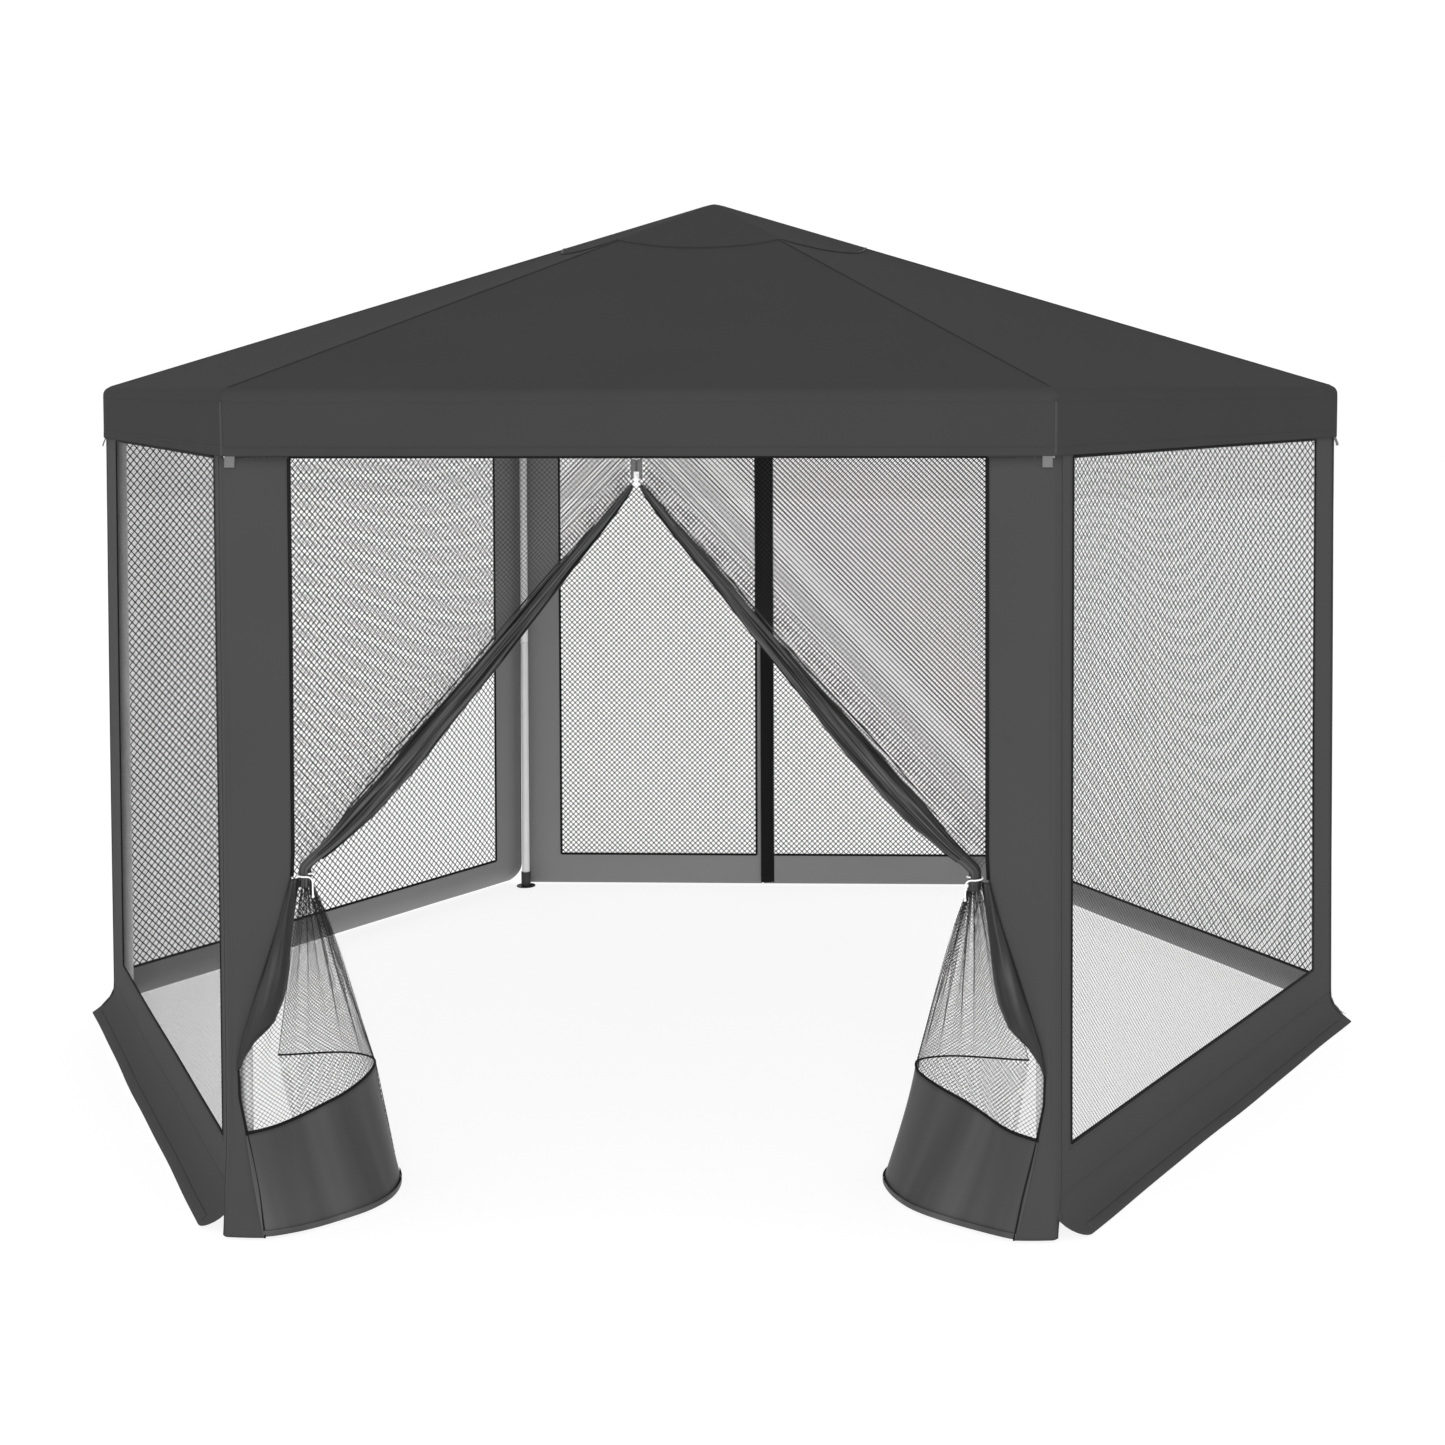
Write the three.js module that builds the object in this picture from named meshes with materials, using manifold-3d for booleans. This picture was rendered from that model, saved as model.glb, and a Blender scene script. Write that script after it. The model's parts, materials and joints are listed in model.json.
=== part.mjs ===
// Six-sided camping screen house: a knock-down steel tube frame under a pitched
// fabric canopy, four mesh side walls with flared skirts, a front doorway whose two
// curtain leaves are tied back, and a zipped back door.
// Millimetres, +Z up, origin at the centre of the floor, front doorway facing -Y.
import * as THREE from "three";
import { mergeVertices } from "three/addons/utils/BufferGeometryUtils.js";
import Module from "manifold-3d";

const wasm = await Module();
wasm.setup();

// ---------------------------------------------------------------- driving dimensions
const SIDE = 2000; // side of the hexagon at the canopy, also its circumradius
const EAVE_Z = 2042; // height of the eave
const VALANCE_Z = 1884; // bottom edge of the valance
const PEAK_Z = 2635; // top of the canopy
const CLOTH = 2; // thickness the cloth pieces are drawn at
const WALL_R = 1992; // circumradius of the wall planes, inside the valance
const WALL_TOP = 2022; // walls hang from just under the eave
const POST_R = 1940; // circumradius of the legs
const LEG_OD = 30, LEG_WALL = 1.2; // leg tubes
const BAR_OD = 25, BAR_WALL = 1.2; // eave beams and rafters
const LEG_SPLIT_Z = 1000; // where the upper leg plugs onto the lower one
const SPIGOT = 80; // length of the swaged spigot
const FOOT_R = 38, FOOT_T = 4, FOOT_SOCKET = 60;
const SLEEVE = 75; // reach of the connector sleeves
const SKIRT_Z = 80, SKIRT_OUT = 70; // flared skirt of the side walls
const STRIP = 161; // width of the solid strips beside the doorway
const DOOR_TOP = 1880; // top of the doorway
const TIE_Z = 876; // height of the curtain ties
const TIE_X = 806; // distance of the tied bundle from the centre line
const CORD_D = 4; // tie cord diameter
const SIDES = 12; // facets round a tube

const COS30 = Math.cos(Math.PI / 6);
const SLOPE = (PEAK_Z - EAVE_Z) / SIDE; // along a hip
const ROOF_DROP = 26; // rafter axis below the hip line
const JOINT_Z = PEAK_Z - ROOF_DROP - SLOPE * POST_R;
const HUB_Z = PEAK_Z - ROOF_DROP;
const WALL_Y = WALL_R * COS30; // distance of each wall plane from the centre
const HALF = WALL_R / 2; // half the width of a wall

const DEG = Math.PI / 180;
const V = (x, y, z) => new THREE.Vector3(x, y, z);

// ---------------------------------------------------------------- materials
const mat = (name, color, roughness, metalness = 0) =>
  new THREE.MeshStandardMaterial({ name, color, roughness, metalness });
const M = {
  cloth: mat("grey_polyester", 0x4a4a4a, 0.85),
  net: mat("grey_netting", 0x5a5a5a, 0.9),
  tube: mat("coated_steel_tube", 0xb9babb, 0.35, 0.6),
  plastic: mat("black_plastic", 0x1d1d1e, 0.55),
  zip: mat("zip_metal", 0x8d8f92, 0.35, 0.8),
  pull: mat("white_plastic", 0xe8e8e6, 0.45),
  cord: mat("white_cord", 0xe9e8e3, 0.8),
};

// ---------------------------------------------------------------- solid helpers
function weld(geo) {
  const g = geo.clone();
  g.deleteAttribute("normal");
  g.deleteAttribute("uv");
  const m = mergeVertices(g, 1e-4);
  // drop slivers that collapse on an axis and turn the faces outward
  const p = m.attributes.position, src = m.index.array, keep = [];
  let vol = 0;
  const a = V(), b = V(), c = V();
  for (let i = 0; i < src.length; i += 3) {
    const [i0, i1, i2] = [src[i], src[i + 1], src[i + 2]];
    if (i0 === i1 || i1 === i2 || i0 === i2) continue;
    a.fromBufferAttribute(p, i0); b.fromBufferAttribute(p, i1); c.fromBufferAttribute(p, i2);
    vol += a.dot(b.clone().cross(c)) / 6;
    keep.push(i0, i1, i2);
  }
  if (vol < 0) for (let i = 0; i < keep.length; i += 3) [keep[i + 1], keep[i + 2]] = [keep[i + 2], keep[i + 1]];
  m.setIndex(keep);
  return m;
}
function toSolid(geo) {
  const m = weld(geo);
  return new wasm.Manifold(new wasm.Mesh({
    numProp: 3,
    vertProperties: new Float32Array(m.attributes.position.array),
    triVerts: new Uint32Array(m.index.array),
  }));
}
function toGeometry(solid) {
  const mesh = solid.getMesh();
  const g = new THREE.BufferGeometry();
  g.setAttribute("position", new THREE.BufferAttribute(Float32Array.from(mesh.vertProperties), 3));
  g.setIndex(Array.from(mesh.triVerts));
  g.computeVertexNormals();
  return g;
}
const join = (...geos) => geos.slice(1).reduce((s, g) => s.add(toSolid(g)), toSolid(geos[0]));
const cut = (solid, ...geos) => geos.reduce((s, g) => s.subtract(toSolid(g)), solid);

// a closed ring profile turned about the tube's own axis, from z0 to z1
function lathe(points, segments = SIDES) {
  const g = new THREE.LatheGeometry(points.map(([r, z]) => new THREE.Vector2(r, z)), segments);
  g.rotateX(Math.PI / 2);
  return weld(g);
}
const tube = (od, wall, z0, z1) => {
  const r = od / 2, q = r - wall;
  return lathe([[q, z0], [r, z0], [r, z1], [q, z1], [q, z0]]);
};
const rod = (r, z0, z1) => lathe([[0, z0], [r, z0], [r, z1], [0, z1]]);
// turn a shape built along +Z so that it starts at `from` and runs along `dir`
function along(geo, from, dir) {
  const g = geo.clone();
  g.applyQuaternion(new THREE.Quaternion().setFromUnitVectors(V(0, 0, 1), dir.clone().normalize()));
  g.translate(from.x, from.y, from.z);
  return g;
}
const box = (x0, x1, y0, y1, z0, z1) => {
  const g = new THREE.BoxGeometry(x1 - x0, y1 - y0, z1 - z0);
  g.translate((x0 + x1) / 2, (y0 + y1) / 2, (z0 + z1) / 2);
  return g;
};
// a thin sheet bent into shape: f(s, t, w) places the grid point, s and t run over
// the cloth and w is 0 on one face and 1 on the other
function bent(nS, nT, f) {
  const g = new THREE.BoxGeometry(1, 1, 1, nS, nT, 1);
  const p = g.attributes.position;
  for (let i = 0; i < p.count; i++) {
    const q = f(p.getX(i) + 0.5, p.getY(i) + 0.5, p.getZ(i) + 0.5);
    p.setXYZ(i, q.x, q.y, q.z);
  }
  return weld(g);
}
const upright = (shape, depth, yFront) => {
  // shape drawn in x and z, with its front face at y = yFront and depth behind it
  const g = new THREE.ExtrudeGeometry(shape, { depth, bevelEnabled: false });
  g.rotateX(Math.PI / 2);
  g.translate(0, yFront + depth, 0);
  return g;
};
const outline = (pts) => new THREE.Shape(pts.map(([x, y]) => new THREE.Vector2(x, y)));

// ---------------------------------------------------------------- assembly
const house = new THREE.Group();
const frame = new THREE.Group();
const cover = new THREE.Group();
house.add(frame, cover);
function put(parent, name, geo, material, turn = 0) {
  const mesh = new THREE.Mesh(geo, material);
  mesh.name = name;
  mesh.rotation.z = turn;
  parent.add(mesh);
  return mesh;
}
const CORNERS = ["right", "back_right", "back_left", "left", "front_left", "front_right"];

// ---------------------------------------------------------------- feet and legs
const footSolid = cut(
  join(lathe([
    [0, 0], [FOOT_R, 0], [FOOT_R, FOOT_T], [19, FOOT_T], [19, FOOT_SOCKET],
    [LEG_OD / 2 + 0.9, FOOT_SOCKET], [LEG_OD / 2 + 0.9, FOOT_T], [0, FOOT_T],
  ], 16)),
  along(lathe([[0, -2], [3, -2], [3, 8], [0, 8]], 8), V(-29, 0, 0), V(0, 0, 1)),
  along(lathe([[0, -2], [3, -2], [3, 8], [0, 8]], 8), V(0, 29, 0), V(0, 0, 1)),
);
const footGeo = toGeometry(footSolid);
const legLowGeo = lathe([
  [13.8, FOOT_T + 0.4], [15, FOOT_T + 0.4], [15, LEG_SPLIT_Z], [12.9, LEG_SPLIT_Z + 4],
  [12.9, LEG_SPLIT_Z + SPIGOT], [11.7, LEG_SPLIT_Z + SPIGOT], [11.7, LEG_SPLIT_Z + 2],
  [13.8, LEG_SPLIT_Z - 4], [13.8, FOOT_T + 0.4],
]);
const legTopZ = JOINT_Z - 24;
const legHighGeo = lathe([
  [13.8, LEG_SPLIT_Z + 5], [15, LEG_SPLIT_Z + 5], [15, legTopZ], [13.8, legTopZ], [13.8, LEG_SPLIT_Z + 5],
]);

// ---------------------------------------------------------------- corner connector, drawn for the corner on +X
const J0 = V(POST_R, 0, JOINT_Z);
const J1 = V(POST_R / 2, POST_R * COS30, JOINT_Z);
const J5 = V(POST_R / 2, -POST_R * COS30, JOINT_Z);
const HUB = V(0, 0, HUB_Z);
const toward = (a, b) => b.clone().sub(a).normalize();
const barSleeve = BAR_OD / 2 + 3, barBore = BAR_OD / 2 + 0.8, legBore = LEG_OD / 2 + 0.9;
const connectorGeo = toGeometry(cut(
  join(
    rod(18, JOINT_Z - 96, JOINT_Z + 10).translate(POST_R, 0, 0),
    along(rod(barSleeve, 0, SLEEVE), J0, toward(J0, J1)),
    along(rod(barSleeve, 0, SLEEVE), J0, toward(J0, J5)),
    along(rod(barSleeve, 0, SLEEVE), J0, toward(J0, HUB)),
  ),
  rod(legBore, JOINT_Z - 100, JOINT_Z - 22).translate(POST_R, 0, 0),
  along(rod(barBore, 30, SLEEVE + 4), J0, toward(J0, J1)),
  along(rod(barBore, 30, SLEEVE + 4), J0, toward(J0, J5)),
  along(rod(barBore, 30, SLEEVE + 4), J0, toward(J0, HUB)),
));
const beamGeo = along(tube(BAR_OD, BAR_WALL, 32, J0.distanceTo(J1) - 32), J0, toward(J0, J1));
const rafterGeo = along(tube(BAR_OD, BAR_WALL, 32, J0.distanceTo(HUB) - 32), J0, toward(J0, HUB));

CORNERS.forEach((corner, k) => {
  const a = k * 60 * DEG;
  const at = V(POST_R * Math.cos(a), POST_R * Math.sin(a), 0);
  put(frame, `foot_${corner}`, footGeo, M.plastic, a).position.copy(at);
  put(frame, `leg_lower_${corner}`, legLowGeo, M.tube, a).position.copy(at);
  put(frame, `leg_upper_${corner}`, legHighGeo, M.tube, a).position.copy(at);
  put(frame, `corner_connector_${corner}`, connectorGeo, M.plastic, a);
  put(frame, `rafter_${corner}`, rafterGeo, M.tube, a);
});
["right_back", "back", "left_back", "left_front", "front", "right_front"].forEach((name, k) =>
  put(frame, `eave_beam_${name}`, beamGeo, M.tube, k * 60 * DEG));

// ---------------------------------------------------------------- roof hub with six sockets
{
  const dirs = [0, 1, 2, 3, 4, 5].map((k) => toward(HUB, J0).applyAxisAngle(V(0, 0, 1), k * 60 * DEG));
  const body = join(
    rod(42, HUB_Z - 24, HUB_Z + 6),
    ...dirs.map((d) => along(rod(barSleeve, 0, 95), HUB, d)),
  );
  put(frame, "roof_hub", toGeometry(cut(body, ...dirs.map((d) => along(rod(barBore, 30, 99), HUB, d)))), M.plastic);
}

// ---------------------------------------------------------------- canopy: pitched roof, eave and valance in one shell
{
  const t = CLOTH / COS30;
  const g = new THREE.LatheGeometry([
    [0, PEAK_Z], [SIDE - 28, PEAK_Z - SLOPE * (SIDE - 28)], [SIDE, EAVE_Z - 12], [SIDE, VALANCE_Z],
    [SIDE - t, VALANCE_Z], [SIDE - t, EAVE_Z - 13], [SIDE - 29.5, PEAK_Z - 2.2 - SLOPE * (SIDE - 29.5)],
    [0, PEAK_Z - 2.2],
  ].map(([r, z]) => new THREE.Vector2(r, z)), 6, Math.PI / 2);
  g.rotateX(Math.PI / 2);
  put(cover, "roof_canopy", weld(g), M.cloth);
}

// ---------------------------------------------------------------- four mesh side walls with flared skirts, drawn for a wall facing +X
{
  const face = [[0, WALL_TOP], [0, SKIRT_Z], [4, 55], [14, 32], [34, 15], [SKIRT_OUT, 5]];
  const normals = face.map((p, i) => {
    const a = face[Math.max(i - 1, 0)], b = face[Math.min(i + 1, face.length - 1)];
    const dx = b[0] - a[0], dz = b[1] - a[1], l = Math.hypot(dx, dz);
    return [dz / l, -dx / l];
  });
  const back = face.map((p, i) => [p[0] + CLOTH * normals[i][0], p[1] + CLOTH * normals[i][1]]);
  back[0][1] = WALL_TOP;
  const width = 2 * (HALF - 3);
  const g = new THREE.ExtrudeGeometry(outline([...face, ...back.reverse()]), { depth: width, bevelEnabled: false });
  g.rotateX(Math.PI / 2);
  g.translate(WALL_Y, width / 2, 0);
  const wall = weld(g);
  [["wall_back_right", 30], ["wall_back_left", 150], ["wall_front_left", 210], ["wall_front_right", 330]]
    .forEach(([name, deg]) => put(cover, name, wall, M.net, deg * DEG));
}

// ---------------------------------------------------------------- front wall: two strips and the header over the doorway
{
  const w = HALF - 3, e = HALF - STRIP;
  const half = [[w, 5], [w, WALL_TOP]], inner = [[e, DOOR_TOP], [e, 872], [w - 14, 400], [w - 38, 245], [w - 95, 5]];
  const pts = [
    ...half, ...half.slice().reverse().map(([x, z]) => [-x, z]),
    ...inner.slice().reverse().map(([x, z]) => [-x, z]), ...inner,
  ];
  put(cover, "front_wall_frame", weld(upright(outline(pts), CLOTH, -WALL_Y)), M.cloth);
}

// ---------------------------------------------------------------- front curtain leaf, drawn on the -X side
const planeY = -WALL_Y + CLOTH / 2;
function curtainLeaf() {
  const e = HALF - STRIP - 3;
  // centre line of the gathered roll, from the zip down to the tie
  const path = new THREE.CatmullRomCurve3([
    [-15, 1806], [-100, 1700], [-198, 1582], [-288, 1470], [-400, 1335], [-600, 1100],
    [-735, 958], [-790, 910], [-TIE_X, TIE_Z + 20], [-TIE_X, TIE_Z + 5], [-TIE_X, TIE_Z - 20],
  ].map(([x, z]) => V(x, planeY, z)));
  const radii = [[0, 8], [0.12, 11], [0.3, 16], [0.55, 24], [0.78, 27], [0.89, 18], [0.94, 13.5], [1, 13.5]];
  const radius = (t) => {
    for (let i = 1; i < radii.length; i++) {
      const [t0, r0] = radii[i - 1], [t1, r1] = radii[i];
      if (t <= t1) return r0 + ((r1 - r0) * (t - t0)) / (t1 - t0);
    }
    return 13.5;
  };
  const roll = new THREE.CylinderGeometry(1, 1, 1, 10, 18); // rings crowd towards the tie
  const p = roll.attributes.position;
  for (let i = 0; i < p.count; i++) {
    const t = 1 - Math.pow(Math.min(1, Math.max(0, 0.5 + p.getY(i))), 1.6);
    const c = path.getPointAt(t), d = path.getTangentAt(t), n = V(d.z, 0, -d.x), r = radius(t);
    p.setXYZ(i, c.x + r * n.x * p.getX(i), c.y + r * p.getZ(i), c.z + r * n.z * p.getX(i));
  }
  const panelPts = [[-e, DOOR_TOP - 3], [-2.2, DOOR_TOP - 3], [-2.2, 1808]];
  for (let i = 0; i <= 10; i++) {
    const c = path.getPointAt(0.94 * (i / 10));
    panelPts.push([c.x, c.z]);
  }
  panelPts.push([-e, TIE_Z + 32]);
  const panel = upright(outline(panelPts), CLOTH, -WALL_Y);
  // the cloth below the tie opens into a curved apron that swings inward
  const curve = (pts) => new THREE.CatmullRomCurve3(pts.map(([x, y]) => V(x, y, 0)));
  const tie = curve([-110, -75, -35, 0, 35, 75, 110].map((a) =>
    [-TIE_X + 9 * Math.cos(a * DEG), planeY + 9 * Math.sin(a * DEG)]));
  const mid = curve([[-943, -1722], [-905, -1670], [-865, -1605], [-825, -1550], [-785, -1500], [-757, -1430], [-752, -1340], [-770, -1270], [-830, -1225], [-920, -1215]]);
  const low = curve([[-886, -1728], [-800, -1700], [-720, -1640], [-655, -1565], [-622, -1490], [-622, -1400], [-655, -1320], [-720, -1265], [-790, -1240], [-860, -1230]]);
  const top = TIE_Z - 5, knee = 245, hem = 14;
  const apron = bent(14, 8, (s, t, w) => {
    const at = (u) => {
      const a = tie.getPoint(u), b = mid.getPoint(u), c = low.getPoint(u);
      const z = top + (hem - top) * t;
      if (z > knee) return a.lerp(b, (top - z) / (top - knee)).setZ(z);
      return b.lerp(c, (knee - z) / (knee - hem)).setZ(z);
    };
    const q = at(s), d = at(Math.min(1, s + 0.01)).sub(at(Math.max(0, s - 0.01)));
    const n = V(-d.y, d.x, 0).normalize();
    return q.addScaledVector(n, 2.6 * w);
  });
  return join(weld(roll), weld(panel), apron);
}
{
  const leaf = curtainLeaf();
  const right = toGeometry(leaf);
  right.scale(-1, 1, 1);
  put(cover, "front_door_leaf_left", weld(toGeometry(leaf)), M.net);
  put(cover, "front_door_leaf_right", weld(right), M.net);
}

// ---------------------------------------------------------------- back wall: two leaves that meet at the zip
{
  const w = HALF - 3, g = 2.2;
  put(cover, "back_door_leaf_left", box(-w, -g, WALL_Y - CLOTH, WALL_Y, 5, WALL_TOP), M.net);
  put(cover, "back_door_leaf_right", box(g, w, WALL_Y - CLOTH, WALL_Y, 5, WALL_TOP), M.net);
}

// ---------------------------------------------------------------- tie cords: once round the bundle, then a short tail
function tieCord(side) {
  const R = 18.8, pts = [];
  for (let i = 0; i <= 14; i++) {
    const a = (-52 + (350 * i) / 14) * DEG;
    pts.push(V(-TIE_X + R * Math.cos(a), planeY + R * Math.sin(a), TIE_Z + 4 - (7 * i) / 14));
  }
  const x = pts[14].x, y = pts[14].y, z = pts[14].z;
  pts.push(V(x + 7, y + 1, z - 2), V(x + 12.5, y + 0.5, z - 8), V(x + 14, y - 1, z - 18), V(x + 14.5, y - 2, z - 32), V(x + 15, y - 2, z - 48));
  const path = new THREE.CatmullRomCurve3(pts.map((q) => V(side * -1 * q.x, q.y, q.z)));
  const ring = new THREE.Shape();
  for (let i = 0; i < 8; i++) {
    const c = [(CORD_D / 2) * Math.cos((i * Math.PI) / 4), (CORD_D / 2) * Math.sin((i * Math.PI) / 4)];
    i ? ring.lineTo(...c) : ring.moveTo(...c);
  }
  return weld(new THREE.ExtrudeGeometry(ring, { steps: 36, bevelEnabled: false, extrudePath: path }));
}
put(cover, "tie_cord_left", tieCord(-1), M.cord);
put(cover, "tie_cord_right", tieCord(1), M.cord);

// ---------------------------------------------------------------- zip sliders straddling the gap between two leaves, and their pulls
const PIVOT_OUT = 5.3; // pivot distance outward from the cloth's outer face
const sliderGeo = toGeometry(join(
  box(-1.3, 1.3, -CLOTH - 1.5, 1.5, -9, 9),
  box(-6.5, 6.5, 0.6, 2.1, -9, 9),
  box(-6.5, 6.5, -CLOTH - 2.1, -CLOTH - 0.6, -9, 9),
  box(-4.2, -3, 1.5, PIVOT_OUT + 1.8, -2.2, 2.2),
  box(3, 4.2, 1.5, PIVOT_OUT + 1.8, -2.2, 2.2),
  along(lathe([[0, -4], [0.8, -4], [0.8, 4], [0, 4]], 8), V(0, PIVOT_OUT, 0), V(1, 0, 0)),
));
const pullGeo = toGeometry(cut(
  join(
    along(lathe([[0, -2.5], [2.5, -2.5], [2.5, 2.5], [0, 2.5]], 12), V(0, 0, 0), V(1, 0, 0)),
    box(-2, 2, -1, 1, -8, 0),
    upright(outline([[-3.5, -5], [3.5, -5], [5, -9], [5, -25], [3.5, -28], [-3.5, -28], [-5, -25], [-5, -9]]), 2, -1),
  ),
  along(lathe([[0, -6], [1.4, -6], [1.4, 6], [0, 6]], 12), V(0, 0, 0), V(1, 0, 0)),
));
[["front", Math.PI, DOOR_TOP - 42], ["back", 0, 60]].forEach(([name, turn, z]) => {
  const s = turn ? -1 : 1;
  put(cover, `${name}_zip_slider`, sliderGeo, M.zip, turn).position.set(0, s * WALL_Y, z);
  put(cover, `${name}_zip_pull`, pullGeo, M.pull, turn).position.set(0, s * (WALL_Y + PIVOT_OUT), z);
});

// ---------------------------------------------------------------- webbing tabs that hang below the valance at each corner
{
  const strap = box(WALL_Y + 1.6, WALL_Y + 3.2, -12.5, 12.5, VALANCE_Z - 28, VALANCE_Z + 45);
  [["left", 210, -1], ["front_left", 270, -1], ["front_right", 270, 1], ["right", 330, 1], ["back_right", 90, -1], ["back_left", 90, 1]]
    .forEach(([corner, deg, side]) => {
      const g = strap.clone();
      g.translate(0, side * (HALF - 18), 0);
      put(cover, `corner_strap_${corner}`, g, M.cloth, deg * DEG);
    });
}

export default house;
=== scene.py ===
import bpy, json, math
import numpy as np
from mathutils import Vector, Matrix
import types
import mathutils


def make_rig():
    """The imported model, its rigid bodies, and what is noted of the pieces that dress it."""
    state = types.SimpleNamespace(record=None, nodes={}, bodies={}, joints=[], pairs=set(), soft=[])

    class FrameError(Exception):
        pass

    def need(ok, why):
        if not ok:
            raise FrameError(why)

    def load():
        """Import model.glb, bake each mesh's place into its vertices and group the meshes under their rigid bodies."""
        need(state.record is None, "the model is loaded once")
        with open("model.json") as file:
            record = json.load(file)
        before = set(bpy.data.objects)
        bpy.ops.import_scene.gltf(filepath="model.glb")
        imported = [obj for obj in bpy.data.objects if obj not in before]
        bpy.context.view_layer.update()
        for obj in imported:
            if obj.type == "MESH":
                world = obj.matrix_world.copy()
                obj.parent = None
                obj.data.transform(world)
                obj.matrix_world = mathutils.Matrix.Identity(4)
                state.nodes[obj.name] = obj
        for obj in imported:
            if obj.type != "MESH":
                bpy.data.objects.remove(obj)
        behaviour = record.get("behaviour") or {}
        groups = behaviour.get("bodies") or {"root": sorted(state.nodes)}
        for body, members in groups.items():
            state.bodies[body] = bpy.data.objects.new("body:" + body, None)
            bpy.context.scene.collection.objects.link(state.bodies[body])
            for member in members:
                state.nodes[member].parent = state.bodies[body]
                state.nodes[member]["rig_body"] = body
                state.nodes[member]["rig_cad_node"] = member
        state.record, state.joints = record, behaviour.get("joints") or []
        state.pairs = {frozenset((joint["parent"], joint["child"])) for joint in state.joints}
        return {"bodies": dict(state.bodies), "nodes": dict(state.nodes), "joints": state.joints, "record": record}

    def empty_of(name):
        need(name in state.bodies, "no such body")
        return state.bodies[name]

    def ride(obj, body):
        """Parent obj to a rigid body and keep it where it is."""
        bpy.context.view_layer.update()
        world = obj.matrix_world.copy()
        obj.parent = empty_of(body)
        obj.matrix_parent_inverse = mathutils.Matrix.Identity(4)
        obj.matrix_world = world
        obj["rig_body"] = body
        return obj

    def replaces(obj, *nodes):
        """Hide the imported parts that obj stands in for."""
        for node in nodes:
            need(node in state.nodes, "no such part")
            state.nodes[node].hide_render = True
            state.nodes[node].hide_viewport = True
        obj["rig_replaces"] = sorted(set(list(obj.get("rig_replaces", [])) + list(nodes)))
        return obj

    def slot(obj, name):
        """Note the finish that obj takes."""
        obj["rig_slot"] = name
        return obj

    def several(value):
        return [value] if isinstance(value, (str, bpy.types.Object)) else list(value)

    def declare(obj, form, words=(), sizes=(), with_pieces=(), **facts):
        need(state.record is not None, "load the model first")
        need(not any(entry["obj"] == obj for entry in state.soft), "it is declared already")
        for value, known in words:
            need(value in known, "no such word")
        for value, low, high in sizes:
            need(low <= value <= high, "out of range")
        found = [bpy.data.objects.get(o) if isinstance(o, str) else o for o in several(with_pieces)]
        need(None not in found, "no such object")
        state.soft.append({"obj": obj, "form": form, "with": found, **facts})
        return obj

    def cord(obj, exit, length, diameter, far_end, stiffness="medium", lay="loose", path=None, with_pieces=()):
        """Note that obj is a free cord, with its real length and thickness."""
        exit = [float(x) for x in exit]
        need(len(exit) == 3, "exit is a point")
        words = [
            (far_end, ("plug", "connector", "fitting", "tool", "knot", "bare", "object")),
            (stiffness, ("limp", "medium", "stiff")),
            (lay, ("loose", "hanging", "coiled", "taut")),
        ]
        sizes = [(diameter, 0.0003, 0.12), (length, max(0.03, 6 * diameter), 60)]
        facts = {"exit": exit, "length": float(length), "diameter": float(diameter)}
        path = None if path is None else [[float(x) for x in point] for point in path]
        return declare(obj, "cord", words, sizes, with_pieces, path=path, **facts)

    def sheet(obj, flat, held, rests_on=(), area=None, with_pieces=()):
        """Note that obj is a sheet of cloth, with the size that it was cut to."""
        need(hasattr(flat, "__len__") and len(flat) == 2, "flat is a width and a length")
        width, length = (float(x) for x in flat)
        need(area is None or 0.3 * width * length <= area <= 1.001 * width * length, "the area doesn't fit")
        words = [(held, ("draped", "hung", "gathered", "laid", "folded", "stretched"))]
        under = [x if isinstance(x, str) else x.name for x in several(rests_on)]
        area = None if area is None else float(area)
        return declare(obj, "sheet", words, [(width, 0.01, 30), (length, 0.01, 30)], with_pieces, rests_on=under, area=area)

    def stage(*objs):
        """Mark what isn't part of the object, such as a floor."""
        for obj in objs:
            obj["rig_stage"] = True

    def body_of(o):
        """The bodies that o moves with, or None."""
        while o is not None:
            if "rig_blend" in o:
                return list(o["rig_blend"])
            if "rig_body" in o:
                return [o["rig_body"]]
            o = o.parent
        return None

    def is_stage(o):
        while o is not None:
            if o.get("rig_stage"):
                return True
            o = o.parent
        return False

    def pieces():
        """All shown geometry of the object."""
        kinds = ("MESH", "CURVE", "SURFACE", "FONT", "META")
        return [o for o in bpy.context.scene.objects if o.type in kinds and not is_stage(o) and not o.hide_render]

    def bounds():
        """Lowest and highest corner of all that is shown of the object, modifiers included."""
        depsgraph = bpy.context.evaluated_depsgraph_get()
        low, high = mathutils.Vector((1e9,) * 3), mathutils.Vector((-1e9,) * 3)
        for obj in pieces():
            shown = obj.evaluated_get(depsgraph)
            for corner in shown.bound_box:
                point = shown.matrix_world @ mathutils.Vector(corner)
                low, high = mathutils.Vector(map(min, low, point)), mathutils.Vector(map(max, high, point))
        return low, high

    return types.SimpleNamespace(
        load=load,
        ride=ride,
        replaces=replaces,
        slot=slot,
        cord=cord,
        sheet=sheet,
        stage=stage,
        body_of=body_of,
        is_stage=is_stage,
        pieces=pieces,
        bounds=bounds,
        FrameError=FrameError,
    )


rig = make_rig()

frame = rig.load()
CAD_BOX = [[float(c) for c in v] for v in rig.bounds()]
S = bpy.context.scene

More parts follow.
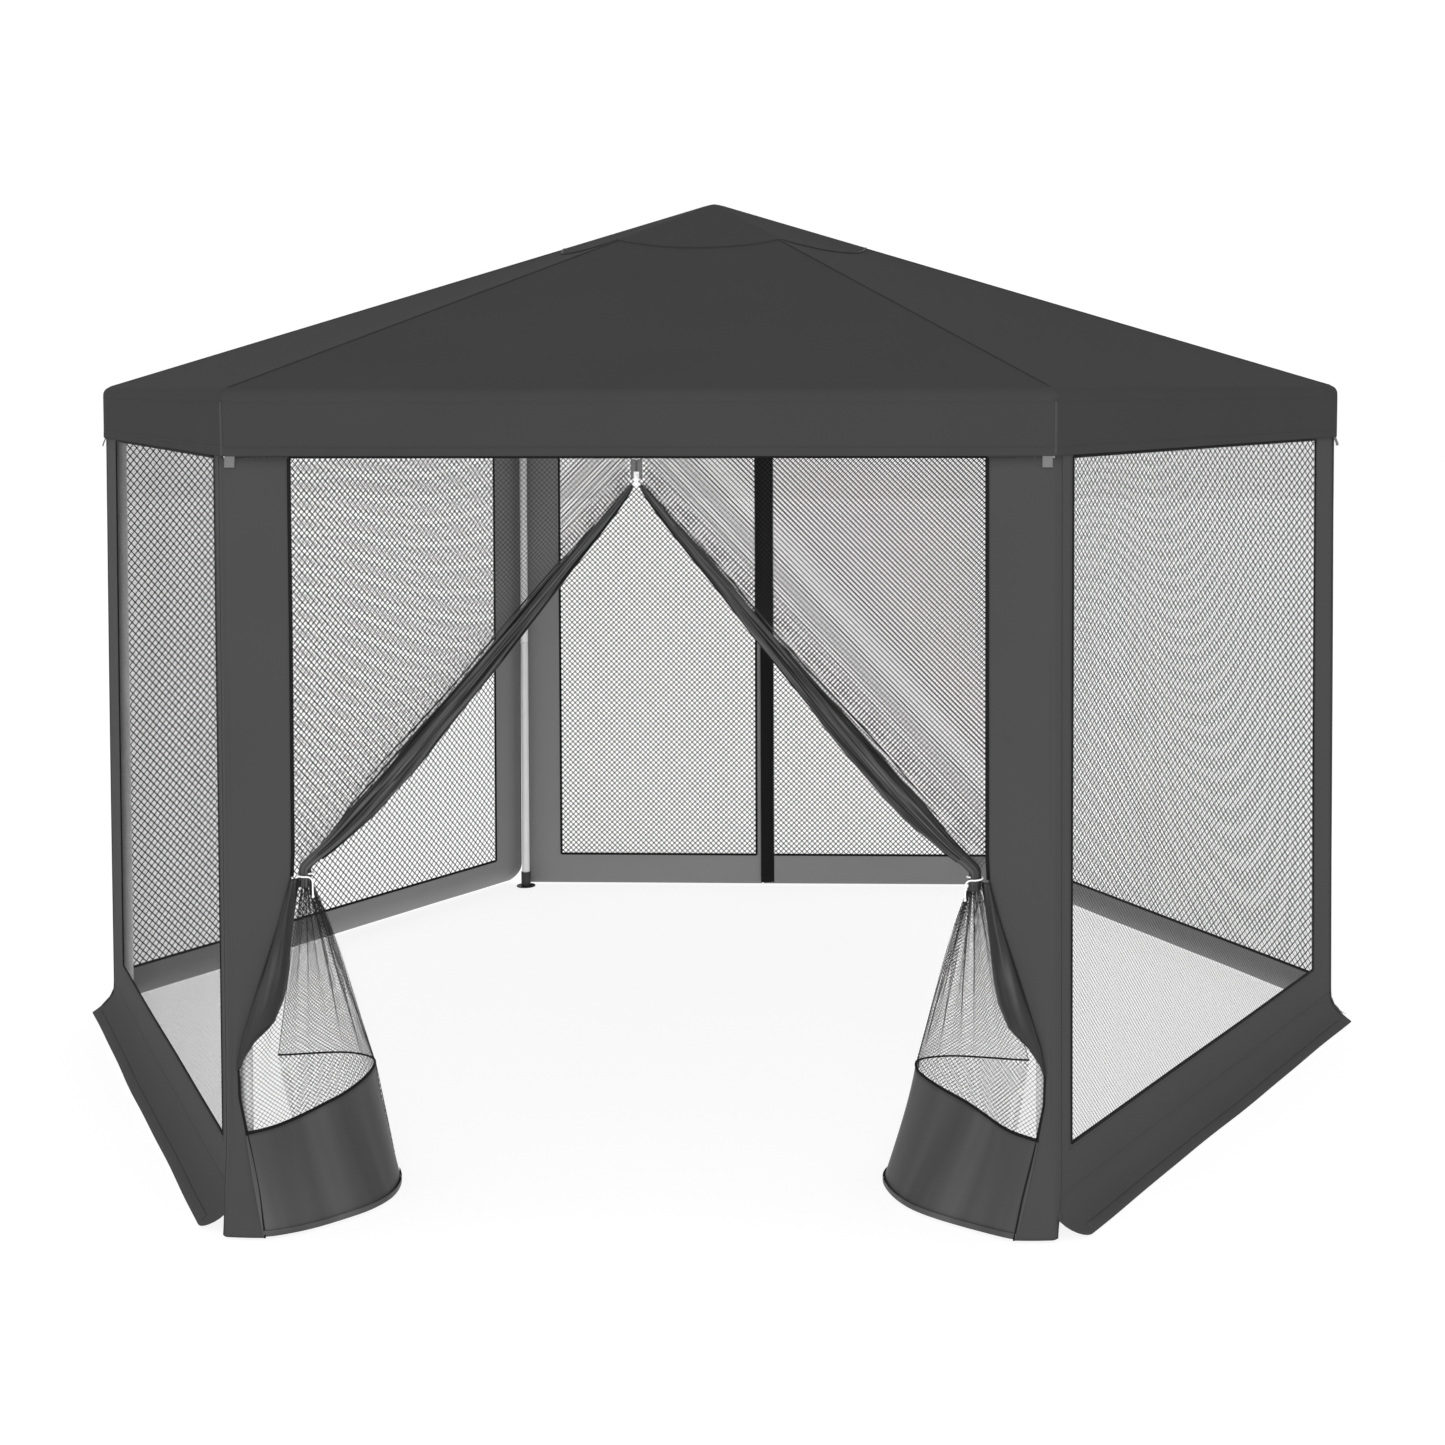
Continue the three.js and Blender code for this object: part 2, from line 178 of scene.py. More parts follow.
# ------------------------------------------------------------------ sizes, metres, as the CAD has them
SIDE, EAVE, VAL, PEAK = 2.0, 2.042, 1.884, 2.635
WR = 1.992
C30 = math.cos(math.pi / 6)
WY = WR * C30                       # wall plane distance
HALF = WR / 2
APO = SIDE * C30                    # canopy apothem
KP = (PEAK - EAVE) / APO            # roof fall per metre from the peak
WTOP = 2.022
DOOR_TOP = 1.880
POST_R = 1.94
DROP = 0.026
JZ = PEAK - DROP - (PEAK - EAVE) / SIDE * POST_R
HZ = PEAK - DROP
TIE_X, TIE_Z = 0.806, 0.876
FY = -WY                            # front wall's outer face
XIN = HALF - 0.161                  # inner edge of the doorway strips

# ------------------------------------------------------------------ camera
cam_data = bpy.data.cameras.new("camera")
cam = bpy.data.objects.new("camera", cam_data)
S.collection.objects.link(cam)
S.camera = cam
cam_data.sensor_width = 36.0
cam_data.lens = 2031 / 1445 * 36
cam_data.shift_x = (722.5 - 881) / 1445
cam_data.shift_y = (450 - 722.5) / 1445
cam_data.clip_start, cam_data.clip_end = 0.05, 100
yaw, pitch, roll = (math.radians(a) for a in (-1.59, -1.85, -0.08))
fwd = Vector((math.sin(yaw) * math.cos(pitch), math.cos(yaw) * math.cos(pitch), math.sin(pitch)))
right = Vector((math.cos(yaw), -math.sin(yaw), 0))
up = right.cross(fwd)
right, up = (right * math.cos(roll) + up * math.sin(roll), up * math.cos(roll) - right * math.sin(roll))
cam.matrix_world = Matrix.Translation((0.717, -6.544, 2.054)) @ Matrix((
    (right.x, up.x, -fwd.x, 0), (right.y, up.y, -fwd.y, 0), (right.z, up.z, -fwd.z, 0), (0, 0, 0, 1)))
S.view_settings.view_transform = "Standard"
S.view_settings.look = "None"

# ------------------------------------------------------------------ materials
def rgb(v):
    """sRGB 0-255 grey or triple to linear."""
    v = (v, v, v) if not hasattr(v, "__len__") else v
    return [((c / 255 + 0.055) / 1.055) ** 2.4 if c > 10.3 else c / 255 / 12.92 for c in v]


def material(name, colour, rough, metallic=0.0, spread=0.08, scale=6.0, weave=0.0, weave_size=0.0012,
             bump_noise=0.0, noise_size=60.0, sheen=0.0, spec=0.5, rough_spread=0.06):
    m = bpy.data.materials.new(name)
    m.use_nodes = True
    nt = m.node_tree
    nt.nodes.clear()
    N, L = nt.nodes.new, nt.links.new
    out, bsdf = N("ShaderNodeOutputMaterial"), N("ShaderNodeBsdfPrincipled")
    L(bsdf.outputs[0], out.inputs[0])
    tc = N("ShaderNodeTexCoord")
    big = N("ShaderNodeTexNoise")
    big.inputs["Scale"].default_value = scale
    big.inputs["Detail"].default_value = 5
    L(tc.outputs["Object"], big.inputs["Vector"])
    ramp = N("ShaderNodeValToRGB")
    c = rgb(colour)
    ramp.color_ramp.elements[0].position, ramp.color_ramp.elements[1].position = 0.3, 0.7
    ramp.color_ramp.elements[0].color = [x * (1 - spread) for x in c] + [1]
    ramp.color_ramp.elements[1].color = [min(1, x * (1 + spread)) for x in c] + [1]
    L(big.outputs["Fac"], ramp.inputs["Fac"])
    base = ramp.outputs["Color"]
    height = None
    if weave:
        uv = N("ShaderNodeUVMap")
        uv.uv_map = "UVMap"
        waves = []
        for axis in ("X", "Y"):
            w = N("ShaderNodeTexWave")
            w.wave_type, w.bands_direction, w.wave_profile = "BANDS", axis, "SIN"
            w.inputs["Scale"].default_value = 1 / weave_size / 6.2832 * 2
            w.inputs["Distortion"].default_value = 0.6
            L(uv.outputs["UV"], w.inputs["Vector"])
            waves.append(w)
        mul = N("ShaderNodeMath")
        mul.operation = "MAXIMUM"
        L(waves[0].outputs["Fac"], mul.inputs[0])
        L(waves[1].outputs["Fac"], mul.inputs[1])
        mix = N("ShaderNodeMix")
        mix.data_type, mix.blend_type = "RGBA", "MULTIPLY"
        mix.inputs[0].default_value = 0.12
        L(base, mix.inputs[6])
        L(mul.outputs[0], mix.inputs[7])
        base = mix.outputs[2]
        height = (mul.outputs[0], weave)
    L(base, bsdf.inputs["Base Color"])
    bsdf.inputs["Metallic"].default_value = metallic
    bsdf.inputs["Specular IOR Level"].default_value = spec
    rr = N("ShaderNodeMapRange")
    rr.inputs["To Min"].default_value = max(0.05, rough - rough_spread)
    rr.inputs["To Max"].default_value = min(1.0, rough + rough_spread)
    L(big.outputs["Fac"], rr.inputs["Value"])
    L(rr.outputs[0], bsdf.inputs["Roughness"])
    if sheen:
        bsdf.inputs["Sheen Weight"].default_value = sheen
        bsdf.inputs["Sheen Roughness"].default_value = 0.5
    normal = None
    if height:
        b = N("ShaderNodeBump")
        b.inputs["Distance"].default_value = height[1]
        b.inputs["Strength"].default_value = 0.6
        L(height[0], b.inputs["Height"])
        normal = b.outputs[0]
    if bump_noise:
        n2 = N("ShaderNodeTexNoise")
        n2.inputs["Scale"].default_value = noise_size
        n2.inputs["Detail"].default_value = 3
        L(tc.outputs["Object"], n2.inputs["Vector"])
        b2 = N("ShaderNodeBump")
        b2.inputs["Distance"].default_value = bump_noise
        b2.inputs["Strength"].default_value = 0.5
        L(n2.outputs["Fac"], b2.inputs["Height"])
        if normal:
            L(normal, b2.inputs["Normal"])
        normal = b2.outputs[0]
    if normal:
        L(normal, bsdf.inputs["Normal"])
    return m


def painted_fold_shading(name, dark, light, along, across, rough=0.55, lo=0.36, hi=0.68, spec=0.3, bump=0.0012, detail=4):
    """Cloth or netting whose folds run along the first UV axis: painted shade and painted highlight, in dark and light
    streaks along the folds.
    """
    m = bpy.data.materials.new(name)
    m.use_nodes = True
    nt = m.node_tree
    nt.nodes.clear()
    N, L = nt.nodes.new, nt.links.new
    out, bsdf = N("ShaderNodeOutputMaterial"), N("ShaderNodeBsdfPrincipled")
    L(bsdf.outputs[0], out.inputs[0])
    uv = N("ShaderNodeUVMap")
    uv.uv_map = "UVMap"
    mp = N("ShaderNodeMapping")
    mp.inputs["Scale"].default_value = (along, across, 1)
    L(uv.outputs["UV"], mp.inputs["Vector"])
    n = N("ShaderNodeTexNoise")
    n.inputs["Scale"].default_value = 1.0
    n.inputs["Detail"].default_value = detail
    n.inputs["Roughness"].default_value = 0.6
    n.inputs["Distortion"].default_value = 0.3
    L(mp.outputs[0], n.inputs["Vector"])
    ramp = N("ShaderNodeValToRGB")
    ramp.color_ramp.elements[0].position, ramp.color_ramp.elements[1].position = lo, hi
    ramp.color_ramp.elements[0].color = rgb(dark) + [1]
    ramp.color_ramp.elements[1].color = rgb(light) + [1]
    L(n.outputs["Fac"], ramp.inputs["Fac"])
    L(ramp.outputs["Color"], bsdf.inputs["Base Color"])
    bsdf.inputs["Roughness"].default_value = rough
    bsdf.inputs["Specular IOR Level"].default_value = spec
    b = N("ShaderNodeBump")
    b.inputs["Distance"].default_value = bump
    b.inputs["Strength"].default_value = 0.7
    L(n.outputs["Fac"], b.inputs["Height"])
    L(b.outputs[0], bsdf.inputs["Normal"])
    return m


CLOTH = dict(rough=0.78, spread=0.035, scale=3.0, weave=0.00022, weave_size=0.0011, bump_noise=0.0022, noise_size=8, spec=0.10)
M_ROOF = material("roof_cloth", 60, **{**CLOTH, "spec": 0.03, "rough": 0.9})
M_WALL = material("wall_cloth", 65, **CLOTH)
# inner faces are painted light grey, far lighter than the cloth: painted glow standing in for light shining through the
# thin cloth
M_INNER_GLOW = material("inner_face_painted_glow", 128, **{**CLOTH, "rough": 0.6, "spec": 0.2})
# the apron band's lighter and darker vertical streaks are painted highlight and painted shade of its soft folds
M_BAND = painted_fold_shading("door_cloth_painted_highlights", 58, 76, 7.5, 0.6, rough=0.5, lo=0.38, hi=0.66, spec=0.3, bump=0.004, detail=2)
# the folded-over lip is coloured near black as painted shade of its inner side, with lighter streaks as painted
# highlight
M_LIP_SHADE = painted_fold_shading("folded_lip_painted_shade", 8, 50, 16.0, 1.2, rough=0.4, lo=0.35, hi=0.75, spec=0.35, bump=0.004, detail=3)
M_TAPE = material("binding_tape", 22, rough=0.8, spread=0.1, scale=20, weave=0.0003, weave_size=0.0016, spec=0.12)
M_HEM = material("seam_tape", 60, rough=0.75, spread=0.06, scale=12, weave=0.0003, weave_size=0.0016, spec=0.3)
M_STITCH = material("stitch_thread", 54, rough=0.8, spread=0.05, scale=40, spec=0.3)
M_NET = material("netting", 42, rough=0.85, spread=0.1, scale=8, spec=0.12)
# the gathered roll is streaked near black in its creases as painted shade and light grey on its crests as painted
# highlight
M_GATHER = painted_fold_shading("gathered_netting_painted_folds", 14, 104, 3.0, 190.0, rough=0.6, lo=0.40, hi=0.80, spec=0.2, bump=0.0016)
M_STEEL = material("coated_steel", 226, rough=0.36, metallic=0.0, spread=0.03, scale=9, bump_noise=0.0002, noise_size=420, spec=0.5)
M_PLASTIC = material("moulded_plastic", 34, rough=0.5, spread=0.08, scale=30, bump_noise=0.0002, noise_size=900, spec=0.5)
M_ZIP = material("zip_metal", 150, rough=0.32, metallic=0.9, spread=0.06, scale=120, bump_noise=0.0001, noise_size=900)
M_PULL = material("white_pull", 212, rough=0.4, spread=0.02, scale=60, bump_noise=0.0001, noise_size=700)
M_CORD = material("white_cord", 232, rough=0.8, spread=0.08, scale=500, bump_noise=0.0006, noise_size=700, spec=0.3)
M_WEB = material("webbing", 108, rough=0.8, spread=0.06, scale=40, weave=0.0005, weave_size=0.0024, spec=0.3)
M_ZTAPE = material("zip_tape_grey", 92, rough=0.8, spread=0.05, scale=30, weave=0.0003, weave_size=0.0015, spec=0.3)

SLOTS = {}


def mesh_obj(name, verts, faces, mat, uv=None, smooth=True, slot="grey_cloth", body="root", ride=True, tri_uv=None):
    me = bpy.data.meshes.new(name)
    verts = np.asarray(verts, dtype=np.float64).reshape(-1, 3)
    if isinstance(faces, np.ndarray):
        n, k = faces.shape
        me.vertices.add(len(verts))
        me.vertices.foreach_set("co", verts.astype(np.float32).ravel())
        me.loops.add(n * k)
        me.loops.foreach_set("vertex_index", faces.astype(np.int32).ravel())
        me.polygons.add(n)
        me.polygons.foreach_set("loop_start", (np.arange(n) * k).astype(np.int32))
        me.polygons.foreach_set("loop_total", np.full(n, k, np.int32))
        me.update(calc_edges=True)
        me.validate()
    else:
        me.from_pydata([tuple(v) for v in verts], [], faces)
        me.update()
    if uv is not None:
        layer = me.uv_layers.new(name="UVMap")
        idx = np.empty(len(me.loops), np.int32)
        me.loops.foreach_get("vertex_index", idx)
        layer.data.foreach_set("uv", np.asarray(uv, np.float32).reshape(-1, 2)[idx].ravel())
    me.polygons.foreach_set("use_smooth", np.full(len(me.polygons), bool(smooth)))
    me.materials.append(mat)
    o = bpy.data.objects.new(name, me)
    S.collection.objects.link(o)
    if ride:
        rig.ride(o, body)
        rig.slot(o, slot)
    return o


def solidify(o, t, offset=-1.0, inner=None):
    m = o.modifiers.new("thickness", "SOLIDIFY")
    m.thickness, m.offset = t, offset
    if inner is not None:
        o.data.materials.append(inner)
        m.material_offset = 1
    return o


def grid_faces(nu, nv, wrap=False, skip=None):
    """Quads of a grid stored row by row, nu points a row, nv rows."""
    i, j = np.meshgrid(np.arange(nu if wrap else nu - 1), np.arange(nv - 1), indexing="ij")
    i, j = i.ravel(), j.ravel()
    if skip is not None:
        keep = ~skip(i, j)
        i, j = i[keep], j[keep]
    i2 = (i + 1) % nu
    return np.stack([j * nu + i, j * nu + i2, (j + 1) * nu + i2, (j + 1) * nu + i], 1)


def compact(verts, faces, uv=None):
    used = np.unique(faces)
    remap = np.full(len(verts), -1)
    remap[used] = np.arange(len(used))
    return verts[used], remap[faces], (None if uv is None else uv[used])


def smoothstep(x):
    x = np.clip(x, 0, 1)
    return x * x * (3 - 2 * x)


def spline(points, n, power=1.0):
    """n points on a centripetal Catmull-Rom curve through points, even in length."""
    P = np.asarray(points, float)
    ext = np.vstack([2 * P[0] - P[1], P, 2 * P[-1] - P[-2]])
    out = []
    for k in range(1, len(ext) - 2):
        p0, p1, p2, p3 = ext[k - 1:k + 3]
        t0 = 0.0
        t1 = t0 + np.linalg.norm(p1 - p0) ** 0.5 + 1e-9
        t2 = t1 + np.linalg.norm(p2 - p1) ** 0.5 + 1e-9
        t3 = t2 + np.linalg.norm(p3 - p2) ** 0.5 + 1e-9
        t = np.linspace(t1, t2, 24, endpoint=False)[:, None]
        a1 = (t1 - t) / (t1 - t0) * p0 + (t - t0) / (t1 - t0) * p1
        a2 = (t2 - t) / (t2 - t1) * p1 + (t - t1) / (t2 - t1) * p2
        a3 = (t3 - t) / (t3 - t2) * p2 + (t - t2) / (t3 - t2) * p3
        b1 = (t2 - t) / (t2 - t0) * a1 + (t - t0) / (t2 - t0) * a2
        b2 = (t3 - t) / (t3 - t1) * a2 + (t - t1) / (t3 - t1) * a3
        out.append((t2 - t) / (t2 - t1) * b1 + (t - t1) / (t2 - t1) * b2)
    Q = np.vstack(out + [P[-1:]])
    d = np.r_[0, np.cumsum(np.linalg.norm(np.diff(Q, axis=0), axis=1))]
    s = np.linspace(0, 1, n) ** power * d[-1]
    return np.stack([np.interp(s, d, Q[:, k]) for k in range(Q.shape[1])], 1)


def sweep(name, path, radius, mat, sides=12, shape=None, flat=None, slot="grey_cloth", body="root", up_hint=(0, 0, 1), caps=True):
    """A closed tube along path. radius is a number or one a point; shape(phi, t) scales it;
    flat=(a, b) makes the section an ellipse with half axes a across and b along up_hint."""
    P = np.asarray(path, float)
    n = len(P)
    T = np.gradient(P, axis=0)
    T /= np.linalg.norm(T, axis=1)[:, None]
    U = np.zeros_like(P)
    u = np.array(up_hint, float)
    for k in range(n):
        u = u - (u @ T[k]) * T[k]
        u /= np.linalg.norm(u)
        U[k] = u
    W = np.cross(T, U)
    r = np.full(n, radius, float) if np.isscalar(radius) else np.asarray(radius, float)
    phi = np.arange(sides) * 2 * math.pi / sides
    t = np.linspace(0, 1, n)
    R = np.ones((n, sides)) * r[:, None]
    if shape is not None:
        R = R * shape(phi[None, :], t[:, None])
    a, b = (1, 1) if flat is None else flat
    V = P[:, None, :] + R[:, :, None] * (a * np.cos(phi)[None, :, None] * W[:, None, :] + b * np.sin(phi)[None, :, None] * U[:, None, :])
    V = V.reshape(-1, 3)
    F = grid_faces(sides, n, wrap=True)
    F = F[:, ::-1]
    dist = np.r_[0, np.cumsum(np.linalg.norm(np.diff(P, axis=0), axis=1))]
    uv = np.stack(np.broadcast_arrays(dist[:, None], (phi * r.mean())[None, :]), -1).reshape(-1, 2)
    faces = [list(map(int, f)) for f in F]
    if caps:
        faces.append([int(k) for k in range(sides)])
        faces.append([int((n - 1) * sides + k) for k in range(sides)][::-1])
    o = mesh_obj(name, V, faces, mat, uv, slot=slot, body=body)
    return o


def fix_normals(o):
    import bmesh
    bm = bmesh.new()
    bm.from_mesh(o.data)
    bmesh.ops.recalc_face_normals(bm, faces=bm.faces)
    bm.to_mesh(o.data)
    bm.free()
    return o


def ribbon(name, path, normal, width, thick, mat, slot="grey_cloth", body="root", closed=False, crown=0.0):
    """A flat tape along path: width across it in the surface, thick along normal (one vector a point)."""
    P = np.asarray(path, float)
    Nn = np.broadcast_to(np.asarray(normal, float), P.shape)
    n = len(P)
    T = (np.roll(P, -1, 0) - np.roll(P, 1, 0)) if closed else np.gradient(P, axis=0)
    T /= np.linalg.norm(T, axis=1)[:, None]
    X = np.cross(T, Nn)
    X /= np.linalg.norm(X, axis=1)[:, None]
    prof = [(-0.5, 0), (-0.5, 0.55), (-0.34, 1), (0, 1 + crown), (0.34, 1), (0.5, 0.55), (0.5, 0)]
    k = len(prof)
    V = np.stack([P + X * (w * width) + Nn * (h * thick) for w, h in prof], 1).reshape(-1, 3)
    dist = np.r_[0, np.cumsum(np.linalg.norm(np.diff(P, axis=0), axis=1))]
    uv = np.stack(np.broadcast_arrays(dist[:, None], np.array([w * width for w, _ in prof])[None, :]), -1).reshape(-1, 2)
    F = []
    for j in range(n if closed else n - 1):
        j2 = (j + 1) % n
        for i in range(k):
            i2 = (i + 1) % k
            F.append([j * k + i, j * k + i2, j2 * k + i2, j2 * k + i])
    if not closed:
        F.append(list(range(k))[::-1])
        F.append([(n - 1) * k + i for i in range(k)])
    return fix_normals(mesh_obj(name, V, F, mat, uv, slot=slot, body=body))


def join(name, objs):
    """One object out of several of the same body."""
    objs = [o for o in objs if o is not None]
    import bmesh
    mats, V, F, I, U = [], [], [], [], []
    base = 0
    me = bpy.data.meshes.new(name)
    bm = bmesh.new()
    for o in objs:
        remap = []
        for m in o.data.materials:
            if m not in mats:
                mats.append(m)
            remap.append(mats.index(m))
        tmp = o.data.copy()
        tmp.transform(o.matrix_world)
        if remap != [0]:
            idx = np.empty(len(tmp.polygons), np.int32)
            tmp.polygons.foreach_get("material_index", idx)
            tmp.polygons.foreach_set("material_index", np.array(remap, np.int32)[idx])
        bm.from_mesh(tmp)
        bpy.data.meshes.remove(tmp)
    bm.to_mesh(me)
    bm.free()
    for m in mats:
        me.materials.append(m)
    o = bpy.data.objects.new(name, me)
    S.collection.objects.link(o)
    slot, body = objs[0].get("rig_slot", None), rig.body_of(objs[0])
    for q in objs:
        bpy.data.objects.remove(q)
    return o


# ------------------------------------------------------------------ netting: flat strands woven at 45 degrees
def net(name, place, keep, box, pitch, width, step, slot="mesh_wall", thick=0.0005, mat=None):
    """Strands of a diamond net. place(a, b) gives points and normals, box is (a0, a1, b0, b1) in
    the net's own plane, keep(a, b) says which points stay, pitch is the diamond's diagonal."""
    a0, a1, b0, b1 = box
    V, F, base, area = [], [], 0, 0.0
    for sign in (1, -1):
        lo = (a0 + b0) if sign > 0 else (a0 - b1)
        hi = (a1 + b1) if sign > 0 else (a1 - b0)
        for c in np.arange(math.floor(lo / pitch), math.ceil(hi / pitch) + 1) * pitch:
            # a + sign*b = c
            if sign > 0:
                s0, s1 = max(a0, c - b1), min(a1, c - b0)
            else:
                s0, s1 = max(a0, c + b0), min(a1, c + b1)
            if s1 - s0 < 0.004:
                continue
            m = max(2, int(math.ceil((s1 - s0) / step)) + 1)
            a = np.linspace(s0, s1, m)
            b = (c - a) * sign
            ok = keep(a, b) if keep is not None else np.ones(m, bool)
            # runs of kept points
            edges = np.flatnonzero(np.diff(np.r_[0, ok.astype(int), 0]))
            for e0, e1 in zip(edges[::2], edges[1::2]):
                if e1 - e0 < 2:
                    continue
                P, Nn = place(a[e0:e1], b[e0:e1])
                n = len(P)
                T = np.gradient(P, axis=0)
                T /= np.linalg.norm(T, axis=1)[:, None] + 1e-12
                X = np.cross(T, Nn)
                X /= np.linalg.norm(X, axis=1)[:, None] + 1e-12
                off = Nn * (sign * thick * 0.5)
                ring = np.stack([P + off - X * width / 2, P + off + Nn * thick / 2, P + off + X * width / 2, P + off - Nn * thick / 2], 1)
                V.append(ring.reshape(-1, 3))
                q = np.arange(n - 1)[:, None] * 4
                f = np.concatenate([base + np.concatenate([q + i, q + (i + 1) % 4, q + 4 + (i + 1) % 4, q + 4 + i], 1) for i in range(4)])
                F.append(f)
                F.append(np.array([[base + 3, base + 2, base + 1, base], [base + 4 * n - 4, base + 4 * n - 3, base + 4 * n - 2, base + 4 * n - 1]]))
                base += 4 * n
                area += float(np.linalg.norm(np.diff(P, axis=0), axis=1).sum()) * math.hypot(width, thick)
    o = mesh_obj(name, np.vstack(V), np.vstack(F), mat or M_NET, uv=None, smooth=False, slot=slot)
    return o, area


def tri_area(o):
    me = o.data
    return sum(p.area for p in me.polygons)


# ------------------------------------------------------------------ stage and light
def build_stage():
    n = 1
    V = [(-30, -30, -0.001), (30, -30, -0.001), (30, 30, -0.001), (-30, 30, -0.001)]
    me = bpy.data.meshes.new("floor")
    me.from_pydata(V, [], [[0, 1, 2, 3]])
    o = bpy.data.objects.new("floor", me)
    S.collection.objects.link(o)
    m = bpy.data.materials.new("floor")
    m.use_nodes = True
    nt = m.node_tree
    nt.nodes.clear()
    out, add = nt.nodes.new("ShaderNodeOutputMaterial"), nt.nodes.new("ShaderNodeAddShader")
    dif, emi = nt.nodes.new("ShaderNodeBsdfDiffuse"), nt.nodes.new("ShaderNodeEmission")
    dif.inputs[0].default_value = (0.22, 0.22, 0.22, 1)
    emi.inputs[0].default_value = (1, 1, 1, 1)
    emi.inputs[1].default_value = 0.84
    nt.links.new(dif.outputs[0], add.inputs[0])
    nt.links.new(emi.outputs[0], add.inputs[1])
    nt.links.new(add.outputs[0], out.inputs[0])
    me.materials.append(m)
    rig.stage(o)
    w = bpy.data.worlds.new("studio")
    S.world = w
    w.use_nodes = True
    bg = w.node_tree.nodes["Background"]
    bg.inputs[0].default_value = (1, 1, 1, 1)
    bg.inputs[1].default_value = 1.0

    def area(name, loc, target, size, power):
        d = bpy.data.lights.new(name, "AREA")
        d.shape, d.size, d.energy = "SQUARE", size, power
        a = bpy.data.objects.new(name, d)
        S.collection.objects.link(a)
        a.location = loc
        a.rotation_euler = (Vector(target) - Vector(loc)).to_track_quat("-Z", "Y").to_euler()
    area("front_soft", (0.8, -8.2, 1.6), (0, -1.7, 1.2), 4.0, 245)


build_stage()

# ------------------------------------------------------------------ frame tubes, round and fine
def lathe_obj(name, profile, origin, axis, mat, slot, segments=40, node=None):
    prof = np.asarray(profile, float)
    k = len(prof)
    phi = np.arange(segments) * 2 * math.pi / segments
    q = Vector((0, 0, 1)).rotation_difference(Vector(axis))
    R = np.array(q.to_matrix())
    P = np.stack([prof[:, 0][:, None] * np.cos(phi), prof[:, 0][:, None] * np.sin(phi), np.broadcast_to(prof[:, 1][:, None], (k, segments))], -1).reshape(-1, 3)
    V = P @ R.T + np.asarray(origin)
    F = []
    for j in range(k):
        j2 = (j + 1) % k
        for i in range(segments):
            i2 = (i + 1) % segments
            F.append([j * segments + i, j * segments + i2, j2 * segments + i2, j2 * segments + i])
    o = fix_normals(mesh_obj(name, V, F, mat, slot=slot))
    o.data.set_sharp_from_angle(angle=math.radians(35))
    if node:
        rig.replaces(o, node)
    return o


def pipe_profile(r, wall, z0, z1, e=0.0006):
    return [(r - wall, z0 + e), (r - wall + e * 0.7, z0), (r - e * 0.7, z0), (r, z0 + e), (r, z1 - e), (r - e * 0.7, z1), (r - wall + e * 0.7, z1), (r - wall, z1 - e)]


CORNERS = ["right", "back_right", "back_left", "left", "front_left", "front_right"]
J = [np.array([POST_R * math.cos(math.radians(60 * k)), POST_R * math.sin(math.radians(60 * k)), JZ]) for k in range(6)]
HUB = np.array([0, 0, HZ])
for k, c in enumerate(CORNERS):
    at = (J[k][0], J[k][1], 0)
    low = [(0.0138, 0.0044), (0.0150, 0.0048), (0.0150, 0.9985), (0.0147, 1.0000), (0.0129, 1.0042), (0.0129, 1.0790), (0.0125, 1.0800),
           (0.0119, 1.0800), (0.0117, 1.0790), (0.0117, 1.0020), (0.0138, 0.9960)]
    lathe_obj(f"tube_leg_lower_{c}", low, at, (0, 0, 1), M_STEEL, "steel_tube", node=f"leg_lower_{c}")
    lathe_obj(f"tube_leg_upper_{c}", pipe_profile(0.015, 0.0012, 1.005, JZ - 0.024), at, (0, 0, 1), M_STEEL, "steel_tube", node=f"leg_upper_{c}")
    d = HUB - J[k]
    Lr = np.linalg.norm(d)
    lathe_obj(f"tube_rafter_{c}", pipe_profile(0.0125, 0.0012, 0.032, Lr - 0.032), J[k], d / Lr, M_STEEL, "steel_tube", node=f"rafter_{c}")
for k, nm in enumerate(["right_back", "back", "left_back", "left_front", "front", "right_front"]):
    d = J[(k + 1) % 6] - J[k]
    Lb = np.linalg.norm(d)
    lathe_obj(f"tube_eave_beam_{nm}", pipe_profile(0.0125, 0.0012, 0.032, Lb - 0.032), J[k], d / Lb, M_STEEL, "steel_tube", node=f"eave_beam_{nm}")


def dress(node, mat, bevel=0.0008, segments=2):
    o = frame["nodes"][node]
    if o.data.materials:
        for i in range(len(o.data.materials)):
            o.data.materials[i] = mat
    else:
        o.data.materials.append(mat)
    for p in o.data.polygons:
        p.use_smooth = True
    o.data.set_sharp_from_angle(angle=math.radians(32))
    if bevel:
        b = o.modifiers.new("edge", "BEVEL")
        b.width, b.segments, b.limit_method, b.angle_limit = bevel, segments, "ANGLE", math.radians(40)
        b.harden_normals = False
    return o


for c in CORNERS:
    dress(f"foot_{c}", M_PLASTIC)
    dress(f"corner_connector_{c}", M_PLASTIC)
dress("roof_hub", M_PLASTIC)
for n in ("front", "back"):
    dress(f"{n}_zip_slider", M_ZIP, 0.0003)
    dress(f"{n}_zip_pull", M_PULL, 0.0004)

# ------------------------------------------------------------------ canopy
def hex_ring(d, rho, ns, na):
    """A hexagon of apothem d with corners rounded to rho, counterclockwise from the side facing azimuth 30."""
    pts = []
    for k in range(6):
        a = math.radians(30 + 60 * k)
        n, t = np.array([math.cos(a), math.sin(a)]), np.array([-math.sin(a), math.cos(a)])
        h = (d - rho) * math.tan(math.pi / 6)
        # the points crowd towards the corners
        s = np.sin(np.linspace(-1, 1, ns) * math.pi / 2)
        pts.append(n * d + t * (s * h)[:, None])
        ca = a + math.radians(30)
        centre = np.array([math.cos(ca), math.sin(ca)]) * (d - rho) / C30
        for q in np.linspace(-30, 30, na + 2)[1:-1]:
            b = ca + math.radians(q)
            pts.append((centre + rho * np.array([math.cos(b), math.sin(b)]))[None, :])
    return np.vstack(pts)


